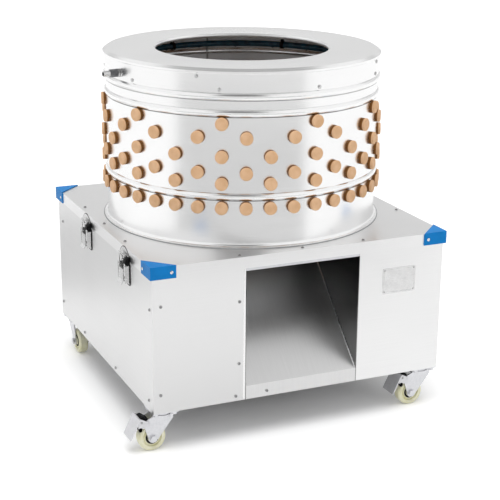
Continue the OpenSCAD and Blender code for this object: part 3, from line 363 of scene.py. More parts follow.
metals = {
    # bright-annealed sheet rolled into the drum: clear reflections, painted shade lines under the beads,
    # duller inside
    "rolled bright stainless": {
        **brightSheet, "dark": "#F1F1F1", "light": "#F6F6F6", "rough": (0.24, 0.27),
        "creaseShade": [(504.9, 1.1, "#8A8A8A"), (677.9, 1.2, "#767676")],
        "inside": {"reach": 299.3, "top": 900, "colour": "#F2F3F4", "rough": 0.5}},
    # the same sheet pressed into the head, with a painted shade line under its bead
    "pressed bright stainless": {
        **brightSheet, "dark": "#F0F0F0", "light": "#F5F5F5", "rough": (0.23, 0.26),
        "creaseShade": [(711.8, 1.1, "#A8A8A8")],
        "inside": {"reach": 300.8, "top": 773.6, "colour": "#F2F3F4", "rough": 0.5}},
    # satin 2B sheet, brushed from side to side: soft wide reflections, lines too fine to see from afar
    "brushed stainless across": {**satinSheet, "dark": "#E8E8E8", "light": "#EEEEEE"},
    # the same sheet on the left front panel, darker towards the floor: painted shade in place of the floor's
    # dim reflection
    "brushed stainless grey": {
        **satinSheet, "dark": "#E9E9E9", "light": "#EDEDED", "secondTone": (350, 70, "#D4D4D4")},
    # and on the right front panel, without that darkening, toned a little darker than the cover for the light
    # there: painted shade
    "brushed stainless pale": {**satinSheet, "dark": "#E7E7E7", "light": "#ECECEC"},
    # the same sheet made darker for the side panels as painted shade, brushed from front to back
    "brushed stainless shaded sides": {
        **satinSheet, "dark": "#DBDBDB", "light": "#E1E1E1",
        "grainMm": (1.0, 140, 1.0), "rough": (0.30, 0.34)},
    # scoured sheet of the chute and pan: soft reflections, with painted shade darkening it towards the pan and
    # on the walls
    "scoured stainless": {
        "dark": "#D4D4D4", "light": "#DADADA", "grainMm": (3.0, 60, 60), "cloudMm": 90,
        "rough": (0.29, 0.34), "bump": 0.02, "bumpMm": 0.1,
        "secondTone": (215, 330, "#666666"), "walls": (129.2, "#A0A0A0")},
    # polished stainless pressings: latch levers, bails and keepers, with bright small reflections
    "pressed stainless": {**pressing, "dark": "#CFCFCF", "light": "#E2E2E2", "rough": (0.18, 0.28)},
    # the same on the rivets, a little darker on the drum's collar
    "rivet stainless": {
        **pressing, "dark": "#D6D6D6", "light": "#E6E6E6", "rough": (0.20, 0.30),
        "secondTone": (500, 501, "#C8C8C8")},
    # tumbled screw heads: darker, cloudy grey
    "tumbled steel": {
        "dark": "#A2A2A2", "light": "#BABABA", "grainMm": (3, 3, 3), "cloudMm": 9,
        "rough": (0.30, 0.42), "bump": 0.06, "bumpMm": 0.1},
    # bright zinc plate: pale grey, faintly cloudy, dull in the pores
    "zinc plated steel": {
        "dark": "#D2D3D6", "light": "#E0E0E3", "grainMm": (5, 5, 5), "cloudMm": 26,
        "rough": (0.34, 0.44), "bump": 0.05, "bumpMm": 0.1},
    # the same plate on the pedals, pressed dull, with a black rubber pad on the brake shoe
    "dull zinc plate": {
        "dark": "#DADADC", "light": "#E6E6E8", "grainMm": (2.5, 2.5, 2.5), "cloudMm": 12,
        "rough": (0.62, 0.74), "bump": 0.10, "bumpMm": 0.2,
        "pads": [((-358.0, 0, 53.5), 5.6, "#080808"), ((254.0, 0, 53.5), 5.6, "#080808")]},
    # grey cast iron with a dull machined skin
    "cast iron": {
        "dark": "#5A5B5C", "light": "#77797A", "grainMm": (1.6, 1.6, 1.6), "cloudMm": 12,
        "rough": (0.45, 0.60), "bump": 0.25, "bumpMm": 0.2},
    # worn black-oxide steel of the nut: mid grey with an oily sheen; in the screws' recesses the same grey is
    # painted shade
    "black oxide steel and recess shade": {
        "dark": "#6C6D6F", "light": "#909193", "grainMm": (2, 2, 2), "cloudMm": 6,
        "rough": (0.26, 0.38), "bump": 0.06, "bumpMm": 0.1},
}
mouldings = {
    # natural rubber, tan and chalky on the trimmed faces, with painted shade making the sides browner; grit
    # drawn coarse to show
    "natural rubber": {
        "dark": "#E0B48A", "light": "#ECC29A", "sideShade": "#7A4E22", "faceReach": 304.2, "sideShadeFade": 1.6,
        "cloudMm": 16, "gritMm": 0.9, "rough": (0.62, 0.78), "bump": 0.12, "bumpMm": 0.3, "specular": 0.2},
    # the same rubber on the plate's fingers and paddles, a darker tone
    "darker rubber": {
        "dark": "#B98A5C", "light": "#CBA077", "cloudMm": 14, "gritMm": 0.9, "rough": (0.60, 0.78),
        "bump": 0.16, "bumpMm": 0.3, "specular": 0.3},
    # black neoprene belt with a matt cloth skin
    "belt neoprene": {
        "dark": "#141415", "light": "#232425", "cloudMm": 6, "gritMm": 0.8, "rough": (0.65, 0.85),
        "bump": 0.3, "bumpMm": 0.2},
    # blue ABS corner guards, fine spark-eroded grain
    "blue ABS": {
        "dark": "#007AC4", "light": "#0082CE", "cloudMm": 30, "gritMm": 0.7, "rough": (0.40, 0.52),
        "bump": 0.06, "bumpMm": 0.1, "specular": 0.15},
    # dark blue polyurethane water tube, smooth and glossy
    "blue polyurethane": {
        "dark": "#0F3B50", "light": "#1B566E", "cloudMm": 16, "gritMm": 1.5, "rough": (0.20, 0.30),
        "bump": 0.05, "bumpMm": 0.1},
    # black nylon clips and pedal buffers: matt, faintly grainy; the same black is painted shade on the blocks
    # by the keepers, the keeper gaskets, the latch seals, the inlet's bore and in part the thread guards
    "black nylon and painted shade": {
        "dark": "#060607", "light": "#0E0E10", "cloudMm": 12, "gritMm": 0.8, "rough": (0.50, 0.65),
        "bump": 0.12, "bumpMm": 0.1, "specular": 0.12},
    # grey silicone along the drum's foot, its grey standing for the shadow line at the joint as painted shade:
    # soft and dull
    "grey silicone shade": {
        "dark": "#909294", "light": "#A0A2A4", "cloudMm": 12, "gritMm": 0.8, "rough": (0.50, 0.65),
        "bump": 0.10, "bumpMm": 0.1, "specular": 0.3},
    # light grey polycarbonate switch box, fine mould grain
    "grey polycarbonate": {
        "dark": "#B4B7B8", "light": "#C3C6C7", "cloudMm": 30, "gritMm": 0.8, "rough": (0.40, 0.52),
        "bump": 0.14, "bumpMm": 0.1},
    # glossy moulded caps of the two buttons
    "green button plastic": {
        "dark": "#157A34", "light": "#1E9142", "cloudMm": 10, "gritMm": 0.7, "rough": (0.28, 0.38),
        "bump": 0.05, "bumpMm": 0.1},
    "red button plastic": {
        "dark": "#B01818", "light": "#C92424", "cloudMm": 10, "gritMm": 0.7, "rough": (0.28, 0.38),
        "bump": 0.05, "bumpMm": 0.1},
    # cream cast nylon wheels, waxy, faint flow marks
    "cream nylon": {
        "dark": "#EFECC6", "light": "#F8F6DC", "cloudMm": 16, "gritMm": 0.9, "rough": (0.38, 0.50),
        "bump": 0.05, "bumpMm": 0.1},
}
materials = {name: metalFinish(name, look) for name, look in metals.items()}
materials.update((name, mouldedFinish(name, look)) for name, look in mouldings.items())

dress = {
    "rolled bright stainless": ["drum_shell", "rotor_plate"],
    "pressed bright stainless": ["drum_head"],
    "brushed stainless across": ["back_panel", "top_cover"],
    "brushed stainless grey": ["front_left_panel"],
    "brushed stainless pale": ["front_right_panel"],
    "brushed stainless shaded sides": ["left_panel", "right_panel"],
    "scoured stainless": ["chute", "base_pan"],
    "pressed stainless": ["latch_keepers", "latch_lever_rear", "latch_lever_front", "latch_bail_rear",
                          "latch_bail_front", "latch_bases", "inlet_fitting"],
    "rivet stainless": ["cover_rivets"],
    "tumbled steel": ["cover_screws", "panel_screws"],
    "dull zinc plate": ["castor_pedal_fl", "castor_pedal_fr"],
    "zinc plated steel": ["base_frame", "bearing_bridge", "motor_bracket", "frame_bolts", "hinge_base_leaves",
                          "hinge_cover_leaves", "hinge_pins", "castor_plates", "spindle", "motor_shaft",
                          "spindle_bearings", "hub_nut"],
    "cast iron": ["spindle_housing", "motor_body", "big_pulley", "small_pulley", "rotor_hub"],
    "black oxide steel and recess shade": ["inlet_nut"],
    "natural rubber": ["drum_fingers"],
    "darker rubber": ["rotor_fingers", "rotor_paddles"],
    "belt neoprene": ["drive_belt"],
    "blue ABS": ["corner_guards"],
    "blue polyurethane": ["water_ring"],
    "black nylon and painted shade": ["ring_clips"],
    "grey polycarbonate": ["switch_box"],
    "green button plastic": ["start_button"],
    "red button plastic": ["stop_button"],
}
for corner in ("fl", "fr", "bl", "br"):
    dress["zinc plated steel"].append("castor_fork_" + corner)
    dress.setdefault("cream nylon", []).append("castor_wheel_" + corner)
for finish, names in dress.items():
    for name in names:
        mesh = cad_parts[name].data
        mesh.materials.clear()
        mesh.materials.append(materials[finish])
bare = set(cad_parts) - {name for names in dress.values() for name in names}
print("finishes set:", len(materials), "bare nodes:", sorted(bare))


# every new piece rides on a body
def settle(piece, body):
    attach(piece, body)
    return piece


samePoint = 1e-6   # points this near in metres are one


def closeMesh(name, bm, sharp):
    bmesh.ops.remove_doubles(bm, verts=bm.verts, dist=samePoint)
    bmesh.ops.recalc_face_normals(bm, faces=bm.faces)
    mesh = bpy.data.meshes.new(name)
    bm.to_mesh(mesh)
    bm.free()
    for face in mesh.polygons:
        face.use_smooth = True
    mesh.set_sharp_from_angle(angle=math.radians(sharp))
    return mesh


# a drawn mesh becomes a piece of the machine; edges past "sharp" degrees stay crisp
def addPiece(name, bm, finish, body, sharp=32):
    return settle(addObject(name, closeMesh(name, bm, sharp), materials[finish]), body)


# drum wall and head: turned from a fine section, so that the beads bend reflections without facets
drum = {
    "wall": 300.0, "sheet": 1.5, "foot": 405.0, "flare": 8.0, "flareSteps": 12, "wallTop": 761.0,
    "beadHalf": 7.6, "beadProud": 4.0, "beadSteps": 24,
    "beads": (513.0, 686.0, 720.0),   # the top one nests in the collar's bead
    "collarIn": 300.2, "collarOut": 301.4, "collarFoot": 710.5,
    "rim": 305.0, "rimFoot": 765.0, "rimLow": 767.0, "rimTop": 771.0, "bevel": 8.0,
    "lidTop": 776.0, "lidSheet": 1.5, "lidEdge": 1.0, "mouth": 190.0, "roll": 5.0, "rollSteps": 20,
    "shadeSeal": 1.3, "sealOut": 0.4, "sealSteps": 12, "turnSteps": 256,
}


# how far a bead stands out at a distance from its middle
def beadSwell(away):
    half, proud = drum["beadHalf"], drum["beadProud"]
    arc = (half * half + proud * proud) / (2 * proud)
    return math.sqrt(arc * arc - away * away) - (arc - proud)


def beadCurve(radius, middle):
    steps = drum["beadSteps"]
    levels = [drum["beadHalf"] * (2 * i / steps - 1) for i in range(steps + 1)]
    return [(radius + beadSwell(level), middle + level) for level in levels]


# joins loops of points into a solid: end to end round a ring, or else with a cap on the first and the last
def joinLoops(bm, loops, ring):
    rows = [[bm.verts.new(point) for point in loop] for loop in loops]
    for near, far in zip(rows, rows[1:] + rows[:1] if ring else rows[1:]):
        for k in range(len(near)):
            n = (k + 1) % len(near)
            bm.faces.new((near[k], far[k], far[n], near[n]))
    if not ring:
        bm.faces.new(rows[0])
        bm.faces.new(rows[-1])


# turns a section of (reach, height along the axis) round an axis through a centre in mm
def turnSection(bm, centre, axis, section, steps):
    along = Vector(axis)
    side = along.orthogonal().normalized()
    loops = []
    for i in range(steps):
        out = Matrix.Rotation(2 * math.pi * i / steps, 3, along) @ side
        loops.append([spot(*(Vector(centre) + out * r + along * t)) for r, t in section])
    joinLoops(bm, loops, True)


def turnPiece(name, body, finish, turns, steps):
    bm = bmesh.new()
    for centre, axis, section in turns:
        turnSection(bm, centre, axis, section, steps)
    return addPiece(name, bm, finish, body)


rounding = {"cornerSteps": 6, "leastCorner": 0.2}   # of lids, plates and seals


# outline of a rectangle with rounded corners, in two directions
def roundedOutline(low, high, corner, inset=0.0):
    corner = max(corner - inset, rounding["leastCorner"])
    edge = inset + corner
    left, right, bottom, top = low[0] + edge, high[0] - edge, low[1] + edge, high[1] - edge
    steps, outline = rounding["cornerSteps"], []
    for x, z, start in ((right, top, 0), (left, top, 90), (left, bottom, 180), (right, bottom, 270)):
        for i in range(steps):
            turn = math.radians(start + 90 * i / (steps - 1))
            outline.append((x + corner * math.cos(turn), z + corner * math.sin(turn)))
    return outline


# a section of the drum turned round its axis
def turnDrum(name, finish, section):
    turns = [((0, 0, 0), (0, 0, 1), section)]
    return turnPiece(name, "cover", finish, turns, drum["turnSteps"])


def makeDrum():
    wall, sheet, foot, flare = (drum[k] for k in ("wall", "sheet", "foot", "flare"))
    inner, topBead = wall - sheet, drum["beads"][-1]
    angles = [math.radians(90 * i / drum["flareSteps"]) for i in range(drum["flareSteps"] + 1)]
    section = [(inner, foot), (wall + flare, foot)]
    section += [(wall + flare * (1 - math.sin(a)), foot + sheet + flare * (1 - math.cos(a))) for a in angles]
    for level in drum["beads"]:
        section += beadCurve(wall, level)
    section += [(wall, drum["wallTop"]), (inner, drum["wallTop"])]
    for level in drum["beads"][::-1]:
        section += beadCurve(inner, level)[::-1]
    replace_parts(turnDrum("drumWall", "rolled bright stainless", section), "drum_shell")

    out, within, rim, bevel = (drum[k] for k in ("collarOut", "collarIn", "rim", "bevel"))
    top, under, roll = drum["lidTop"], drum["lidTop"] - drum["lidSheet"], drum["roll"]
    eye, level = drum["mouth"] + roll, top - roll
    angles = [math.pi * (0.5 + i / drum["rollSteps"]) for i in range(drum["rollSteps"] + 1)]
    section = [(within, drum["collarFoot"]), (out, drum["collarFoot"])] + beadCurve(out, topBead)
    section += [(out, drum["rimFoot"]), (rim, drum["rimLow"]), (rim, drum["rimTop"]), (rim - bevel, top)]
    section += [(eye + roll * math.cos(a), level + roll * math.sin(a)) for a in angles]
    section += [(eye + roll, level), (eye + roll, under)]
    section += [(rim - bevel - drum["lidEdge"], under), (within, drum["rimTop"])]
    section += beadCurve(within, topBead)[::-1]
    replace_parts(turnDrum("drumHead", "pressed bright stainless", section), "drum_head")

    # a grey bead round the foot, standing for the shadow line at the joint: painted shade
    reach, shadeSeal = wall + flare + drum["sealOut"], drum["shadeSeal"]
    angles = [math.radians(180 * i / drum["sealSteps"]) for i in range(drum["sealSteps"] + 1)]
    bulge = [(reach + shadeSeal * math.cos(a), foot + shadeSeal * math.sin(a)) for a in angles]
    turnDrum("footSealShade", "grey silicone shade", bulge)


makeDrum()
print("drum turned")


# a tree that puts one shape on each spot, along the spot's "facing"; drawShape makes it from the named sizes
def scatterTree(name, sizes, drawShape):
    tree = bpy.data.node_groups.new(name, "GeometryNodeTree")
    tree.interface.new_socket(name="Spots", in_out="INPUT", socket_type="NodeSocketGeometry")
    for size in sizes:
        tree.interface.new_socket(name=size, in_out="INPUT", socket_type="NodeSocketFloat")
    tree.interface.new_socket(name="Finish", in_out="INPUT", socket_type="NodeSocketMaterial")
    tree.interface.new_socket(name="Mesh", in_out="OUTPUT", socket_type="NodeSocketGeometry")
    given = addNode(tree, "NodeGroupInput").outputs
    facing = addNode(tree, "GeometryNodeInputNamedAttribute",
                     {"data_type": "FLOAT_VECTOR", "Name": "facing"})
    turn = addNode(tree, "FunctionNodeAlignRotationToVector", {"axis": "Z"}, {"Vector": facing.outputs[0]})
    put = addNode(tree, "GeometryNodeInstanceOnPoints", {},
                  {"Points": given["Spots"], "Instance": drawShape(tree, given), "Rotation": turn.outputs[0]})
    solid = addNode(tree, "GeometryNodeRealizeInstances", {}, {0: put.outputs[0]})
    done = addNode(tree, "GeometryNodeSetMaterial", {},
                   {"Geometry": solid.outputs[0], "Material": given["Finish"]})
    addNode(tree, "NodeGroupOutput", {}, {"Mesh": done.outputs[0]})
    return tree


dome = {"Segments": 14, "Rings": 8}   # few faces, as the heads are small


def drawDome(tree, given):
    half = addNode(tree, "ShaderNodeMath", {"operation": "MULTIPLY", 1: 0.5}, {0: given["Diameter"]})
    ball = addNode(tree, "GeometryNodeMeshUVSphere", dome, {"Radius": half.outputs[0]})
    flat = addNode(tree, "ShaderNodeMath", {"operation": "DIVIDE"},
                   {0: given["Height"], 1: half.outputs[0]})
    shape = addNode(tree, "ShaderNodeCombineXYZ", {"X": 1.0, "Y": 1.0}, {"Z": flat.outputs[0]})
    head = addNode(tree, "GeometryNodeTransform", {},
                   {"Geometry": ball.outputs[0], "Scale": shape.outputs[0]})
    return addNode(tree, "GeometryNodeSetShadeSmooth", {}, {0: head.outputs[0]}).outputs[0]


def drawCross(tree, given):
    both = addNode(tree, "GeometryNodeJoinGeometry")
    for across, deep in (("Length", "Width"), ("Width", "Length")):
        size = addNode(tree, "ShaderNodeCombineXYZ", {},
                       {"X": given[across], "Y": given[deep], "Z": given["Depth"]})
        bar = addNode(tree, "GeometryNodeMeshCube", {}, {"Size": size.outputs[0]})
        tree.links.new(bar.outputs[0], both.inputs[0])
    return both.outputs[0]


nozzle = {"tip": 0.45, "flange": 1.35, "flangeThick": 0.3, "sides": 12}   # shares of the base and the length


def drawNozzle(tree, given):
    both = addNode(tree, "GeometryNodeJoinGeometry")
    tip = addNode(tree, "ShaderNodeMath", {"operation": "MULTIPLY", 1: nozzle["tip"]}, {0: given["Base"]})
    cone = addNode(tree, "GeometryNodeMeshCone", {"Vertices": nozzle["sides"]},
                   {"Radius Bottom": given["Base"], "Radius Top": tip.outputs[0], "Depth": given["Length"]})
    wide = addNode(tree, "ShaderNodeMath", {"operation": "MULTIPLY", 1: nozzle["flange"]}, {0: given["Base"]})
    thin = addNode(tree, "ShaderNodeMath", {"operation": "MULTIPLY", 1: nozzle["flangeThick"]},
                   {0: given["Length"]})
    flange = addNode(tree, "GeometryNodeMeshCone", {"Vertices": nozzle["sides"]},
                     {"Radius Bottom": wide.outputs[0], "Radius Top": wide.outputs[0],
                      "Depth": thin.outputs[0]})
    tree.links.new(cone.outputs[0], both.inputs[0])
    tree.links.new(flange.outputs[0], both.inputs[0])
    return both.outputs[0]


def scatter(name, body, finish, spots, sizes, drawShape):
    tree = scatterTree(name, sizes, drawShape)
    mesh = bpy.data.meshes.new(name + "Spots")
    mesh.from_pydata([point for point, _ in spots], [], [])
    facing = mesh.attributes.new("facing", "FLOAT_VECTOR", "POINT")
    facing.data.foreach_set("vector", [part for _, way in spots for part in way])
    piece = addObject(name, mesh, None)
    modifier = piece.modifiers.new(name, "NODES")
    modifier.node_group = tree
    for socket in tree.interface.items_tree:
        if socket.in_out == "INPUT" and socket.name in sizes:
            modifier[socket.identifier] = sizes[socket.name] * mm
        elif socket.name == "Finish":
            modifier[socket.identifier] = materials[finish]
    bpy.context.view_layer.update()
    evaluated = piece.evaluated_get(bpy.context.evaluated_depsgraph_get())
    plain = bpy.data.meshes.new_from_object(evaluated)
    plain.name = name
    piece.modifiers.clear()
    piece.data = plain
    settle(piece, body)


# boxes of the separate solids in a CAD node, in a fixed order
def solidBoxes(node):
    bm = bmesh.new()
    bm.from_mesh(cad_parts[node].data)
    bmesh.ops.remove_doubles(bm, verts=bm.verts, dist=samePoint)
    bm.verts.index_update()
    seen, boxes = set(), []
    for first in bm.verts:
        if first.index in seen:
            continue
        seen.add(first.index)
        stack, points = [first], []
        while stack:
            vert = stack.pop()
            points.append(vert.co.copy())
            for edge in vert.link_edges:
                other = edge.other_vert(vert)
                if other.index not in seen:
                    seen.add(other.index)
                    stack.append(other)
        boxes.append([Vector([pick(p[i] for p in points) for i in range(3)]) for pick in (min, max)])
    bm.free()
    return boxes


# cross recesses in the pan heads of the screws, their dark grey a painted shade
screws = {"Length": 4.6, "Width": 1.2, "Depth": 0.9}
recessSunk = 0.25   # from the top of the head to the middle of the recess
middle = (Vector(cadBox[0]) + Vector(cadBox[1])) / 2
for name, node, body in (("panelRecesses", "panel_screws", "cabinet"),
                         ("coverRecesses", "cover_screws", "cover")):
    heads = []
    for low, high in solidBoxes(node):
        thin = min(range(3), key=lambda i: high[i] - low[i])
        centre = (low + high) / 2
        way = Vector((0, 0, 0))
        way[thin] = 1 if thin == 2 or centre[thin] > middle[thin] else -1
        heads.append((centre + way * ((high[thin] - low[thin]) / 2 - recessSunk * mm), way))
    scatter(name, body, "black oxide steel and recess shade", heads, screws, drawCross)
print("screw recesses cut")


# bare rating plate on the right front panel, with a grooved border and four rivets
plate = {"left": 188.0, "right": 268.0, "low": 280.5, "high": 337.5, "panel": -331.0, "sheet": 0.8,
         "corner": 3.0, "chamfer": 0.2, "border": 2.6, "groove": 0.9, "grooveDeep": 0.3, "rivetIn": 4.6}
plateRivets = {"Diameter": 3.4, "Height": 1.0}


def makePlate():
    back, border, groove, chamfer = (plate[k] for k in ("panel", "border", "groove", "chamfer"))
    front = back - plate["sheet"]
    steps = [(0.0, back), (0.0, front + chamfer), (chamfer, front), (border, front),
             (border + groove / 2, front + plate["grooveDeep"]), (border + groove, front)]
    corners = (plate["left"], plate["low"]), (plate["right"], plate["high"])
    bm = bmesh.new()
    joinLoops(bm, [[spot(x, y, z) for x, z in roundedOutline(*corners, plate["corner"], inset)]
                   for inset, y in steps], False)
    addPiece("ratingPlate", bm, "pressed stainless", "cabinet", sharp=20)
    reach = plate["rivetIn"]
    heads = [(spot(x, front, z), (0, -1, 0)) for x in (plate["left"] + reach, plate["right"] - reach)
             for z in (plate["low"] + reach, plate["high"] - reach)]
    scatter("plateRivets", "cabinet", "tumbled steel", heads, plateRivets, drawDome)


makePlate()
print("rating plate fixed")


# bright fold where the left front panel turns back beside the chute
fold = {"left": -135.8, "right": -131.1, "front": -331.0, "proud": 0.6, "sunk": 0.1,
        "low": 93.0, "high": 377.0, "steps": 12}


def makeFold():
    bm = bmesh.new()
    middle, half = (fold["left"] + fold["right"]) / 2, (fold["right"] - fold["left"]) / 2
    foot, rise = fold["front"] + fold["sunk"], fold["proud"] + fold["sunk"]
    angles = [math.pi * i / fold["steps"] for i in range(fold["steps"] + 1)]
    arc = [(middle + half * math.cos(a), foot - rise * math.sin(a)) for a in angles]
    joinLoops(bm, [[spot(x, y, z) for x, y in arc] for z in (fold["low"], fold["high"])], False)
    addPiece("panelFold", bm, "pressed bright stainless", "cabinet", sharp=40)


makeFold()
print("panel folded")


# black nylon blocks: beside each latch keeper a block that stands for the shadow gap under its hook, a painted
# shade; and the buffers between the arms of the brake pedals
blackBlocks = {
    # x and z of the two outlines
    "keeper": [(-338, 373), (-338, 389), (-341, 391.5), (-348, 386), (-349.5, 378), (-344, 373)],
    "buffer": [(-357, 76.5), (-354, 80.5), (-349, 80), (-337, 71), (-336, 66), (-341, 63.5), (-347, 66)],
    "keeperFrom": -37.0, "keeperTo": -22.5, "latches": (90.0, -174.0),   # y beside the latch, y of the latches
    "bufferHalf": 12.4, "castorX": 306.0, "castorY": -300.0,
    "bevel": 1.2, "bevelSteps": 2, "bevelProfile": 0.6,
}


def makeBlackBlock(name, body, outline, yFrom, yTo, xShift=0.0):
    bm = bmesh.new()
    face = bm.faces.new([bm.verts.new(spot(x + xShift, yFrom, z)) for x, z in outline])
    drawn = bmesh.ops.extrude_face_region(bm, geom=[face])
    moved = [v for v in drawn["geom"] if isinstance(v, bmesh.types.BMVert)]
    bmesh.ops.translate(bm, verts=moved, vec=(0, (yTo - yFrom) * mm, 0))
    bmesh.ops.bevel(bm, geom=list(bm.edges), offset=blackBlocks["bevel"] * mm, segments=blackBlocks["bevelSteps"],
                    affect="EDGES", profile=blackBlocks["bevelProfile"])
    addPiece(name, bm, "black nylon and painted shade", body, sharp=40)


# black blocks beside the keepers stand for the shadow gap under each keeper's hook: painted shade
for name, latchY in zip(("keeperShadeBlockRear", "keeperShadeBlockFront"), blackBlocks["latches"]):
    makeBlackBlock(name, "cover", blackBlocks["keeper"], latchY + blackBlocks["keeperFrom"], latchY + blackBlocks["keeperTo"])
for name, body, shift in (("brakeBufferLeft", "brake_fl", 0.0),
                          ("brakeBufferRight", "brake_fr", 2 * blackBlocks["castorX"])):
    castorY, half = blackBlocks["castorY"], blackBlocks["bufferHalf"]
    makeBlackBlock(name, body, blackBlocks["buffer"], castorY - half, castorY + half, shift)
print("stops fixed")


# keepers: an arched plate with a raised border on a thin black gasket whose rim is a painted shadow line round
# the plate, and a hooked shelf for the bail
keeper = {
    "skirt": -336.5, "sheet": 1.5, "low": 381.0, "arch": 32.0, "rise": 23.0, "archSteps": 32,
    "chamfer": 0.3, "border": 2.4, "slope": 0.4, "sunk": 0.5,
    "gasket": 1.3, "gasketThick": 0.9, "lap": 0.05,
    "shelfHalf": 10.0, "shelfOut": -347.2, "shelfLow": 386.0, "shelfThick": 2.0,
    "shelfRoot": 0.6, "shelfSoft": 0.6,
    "lip": 1.6, "lipSoft": (0.5, 0.4), "lipTop": 1.0, "lipFoot": 1.4,
}


# arch of the keeper's outline in y and z
def archOutline(latchY, inset):
    arch, middle = keeper["arch"] - inset, keeper["low"] + keeper["rise"] - keeper["arch"]
    foot = math.asin((keeper["low"] + inset - middle) / arch)
    steps = keeper["archSteps"]
    angles = [foot + (math.pi - 2 * foot) * i / steps for i in range(steps + 1)]
    return [(latchY + arch * math.cos(a), middle + arch * math.sin(a)) for a in angles]


def makeKeepers():
    plates, shadeGaskets = bmesh.new(), bmesh.new()
    skirt, border, chamfer, lap, gasket = (keeper[k] for k in ("skirt", "border", "chamfer", "lap", "gasket"))
    face, pad = skirt - keeper["sheet"], skirt - keeper["gasketThick"]
    plateSteps = [(0.0, skirt), (0.0, face + chamfer), (chamfer, face), (border, face),
                  (border + keeper["slope"], face + keeper["sunk"])]
    gasketSteps = [(-gasket, skirt), (-gasket, pad), (-lap, pad), (-lap, skirt)]
    out, low, soft = keeper["shelfOut"], keeper["shelfLow"], keeper["shelfSoft"]
    root, high = face + keeper["shelfRoot"], low + keeper["shelfThick"]
    top, (across, down) = high + keeper["lip"], keeper["lipSoft"]
    shelf = [(root, low), (out + soft, low), (out, low + soft), (out, top - down), (out + across, top),
             (out + keeper["lipTop"], top), (out + keeper["lipFoot"], high), (root, high)]
    for latchY in blackBlocks["latches"]:
        for bm, steps, isRing in ((plates, plateSteps, False), (shadeGaskets, gasketSteps, True)):
            joinLoops(bm, [[spot(x, y, z) for y, z in archOutline(latchY, inset)]
                           for inset, x in steps], isRing)
        joinLoops(plates, [[spot(x, latchY + end, z) for x, z in shelf]
                           for end in (-keeper["shelfHalf"], keeper["shelfHalf"])], False)
    piece = addPiece("keeperPlates", plates, "pressed stainless", "cover", sharp=30)
    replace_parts(piece, "latch_keepers")
    addPiece("keeperShadeGaskets", shadeGaskets, "black nylon and painted shade", "cover")


makeKeepers()
print("keepers fixed")


# black seal round each latch's base, standing for the shadow line round it: painted shade
shadeSeal = {"wide": 1.8, "thick": 1.6, "lap": 0.05, "half": 23.0, "low": 327.0, "high": 372.0,
        "panel": -334.0, "corner": 1.5}


def makeSeals():
    bm = bmesh.new()
    wide, lap, panel = shadeSeal["wide"], shadeSeal["lap"], shadeSeal["panel"]
    face = panel - shadeSeal["thick"]
    steps = [(-wide, panel), (-wide, face), (-lap, face), (-lap, panel)]
    for latchY in blackBlocks["latches"]:
        corners = (latchY - shadeSeal["half"], shadeSeal["low"]), (latchY + shadeSeal["half"], shadeSeal["high"])
        joinLoops(bm, [[spot(x, y, z) for y, z in roundedOutline(*corners, shadeSeal["corner"], inset)]
                       for inset, x in steps], True)
    addPiece("latchShadeSeals", bm, "black nylon and painted shade", "cabinet")


makeSeals()
print("seals laid")


# castors: black thread guards on both faces of each wheel, also standing for the shadow in the gap between
# wheel and fork as painted shade, and rivets through the pedals' arms
castors = {"trail": 24.0, "axle": 30.0, "guardIn": 10.4, "guardOut": 14.4, "guardFrom": 8.8, "guardTo": 10.2,
           "softOut": 0.5, "softIn": 0.4, "guardSteps": 40, "rivetX": -25.0, "rivetZ": 40.0, "armFace": 18.0}
pedalRivets = {"Diameter": 5.0, "Height": 1.2}


def dressCastor(corner, x, y, braked):
    trail, axle = castors["trail"], castors["axle"]
    hub, axis = ((x - trail, y, axle), (0, 1, 0)) if braked else ((x, y - trail, axle), (1, 0, 0))
    near, far, low, high = (castors[k] for k in ("guardIn", "guardOut", "guardFrom", "guardTo"))
    softOut, softIn = castors["softOut"], castors["softIn"]
    section = [(near, low), (far, low), (far, high - softOut), (far - softOut, high),
               (near + softIn, high), (near, high - softIn)]
    turns = [(hub, axis, section), (hub, axis, [(r, -t) for r, t in section])]
    turnPiece("threadGuardShade_" + corner, "wheel_" + corner, "black nylon and painted shade", turns,
              castors["guardSteps"])
    if braked:
        armX, armZ = hub[0] + castors["rivetX"], axle + castors["rivetZ"]
        heads = [(spot(armX, y + side * castors["armFace"], armZ), (0, side, 0)) for side in (-1, 1)]
        scatter("pedalRivets_" + corner, "brake_" + corner, "tumbled steel", heads,
                pedalRivets, drawDome)


for corner, right, back in (("fl", -1, -1), ("fr", 1, -1), ("bl", -1, 1), ("br", 1, 1)):
    dressCastor(corner, right * blackBlocks["castorX"], -back * blackBlocks["castorY"], back < 0)
print("castors dressed")


# fillet welds where the chute's floor meets its walls, and a black ring in the end of the inlet's tail
# standing for the dark bore: painted shade
chute = {"wall": 129.5, "front": -329.0, "back": -120.0, "floor": 120.0, "edge": -331.0, "slope": 43.6,
         "fillet": 2.4, "sunk": 0.2, "toe": 0.1,
         "hollow": ((0.62, 0.45), (0.3, 0.95)), "leg": 1.5}   # shares of the fillet
inlet = {"angle": -82.0, "height": 742.0, "tailEnd": 337.2, "bore": 4.4, "eye": 0.4, "sunk": 0.2,
         "proud": 0.25, "dish": 0.4, "steps": 32}


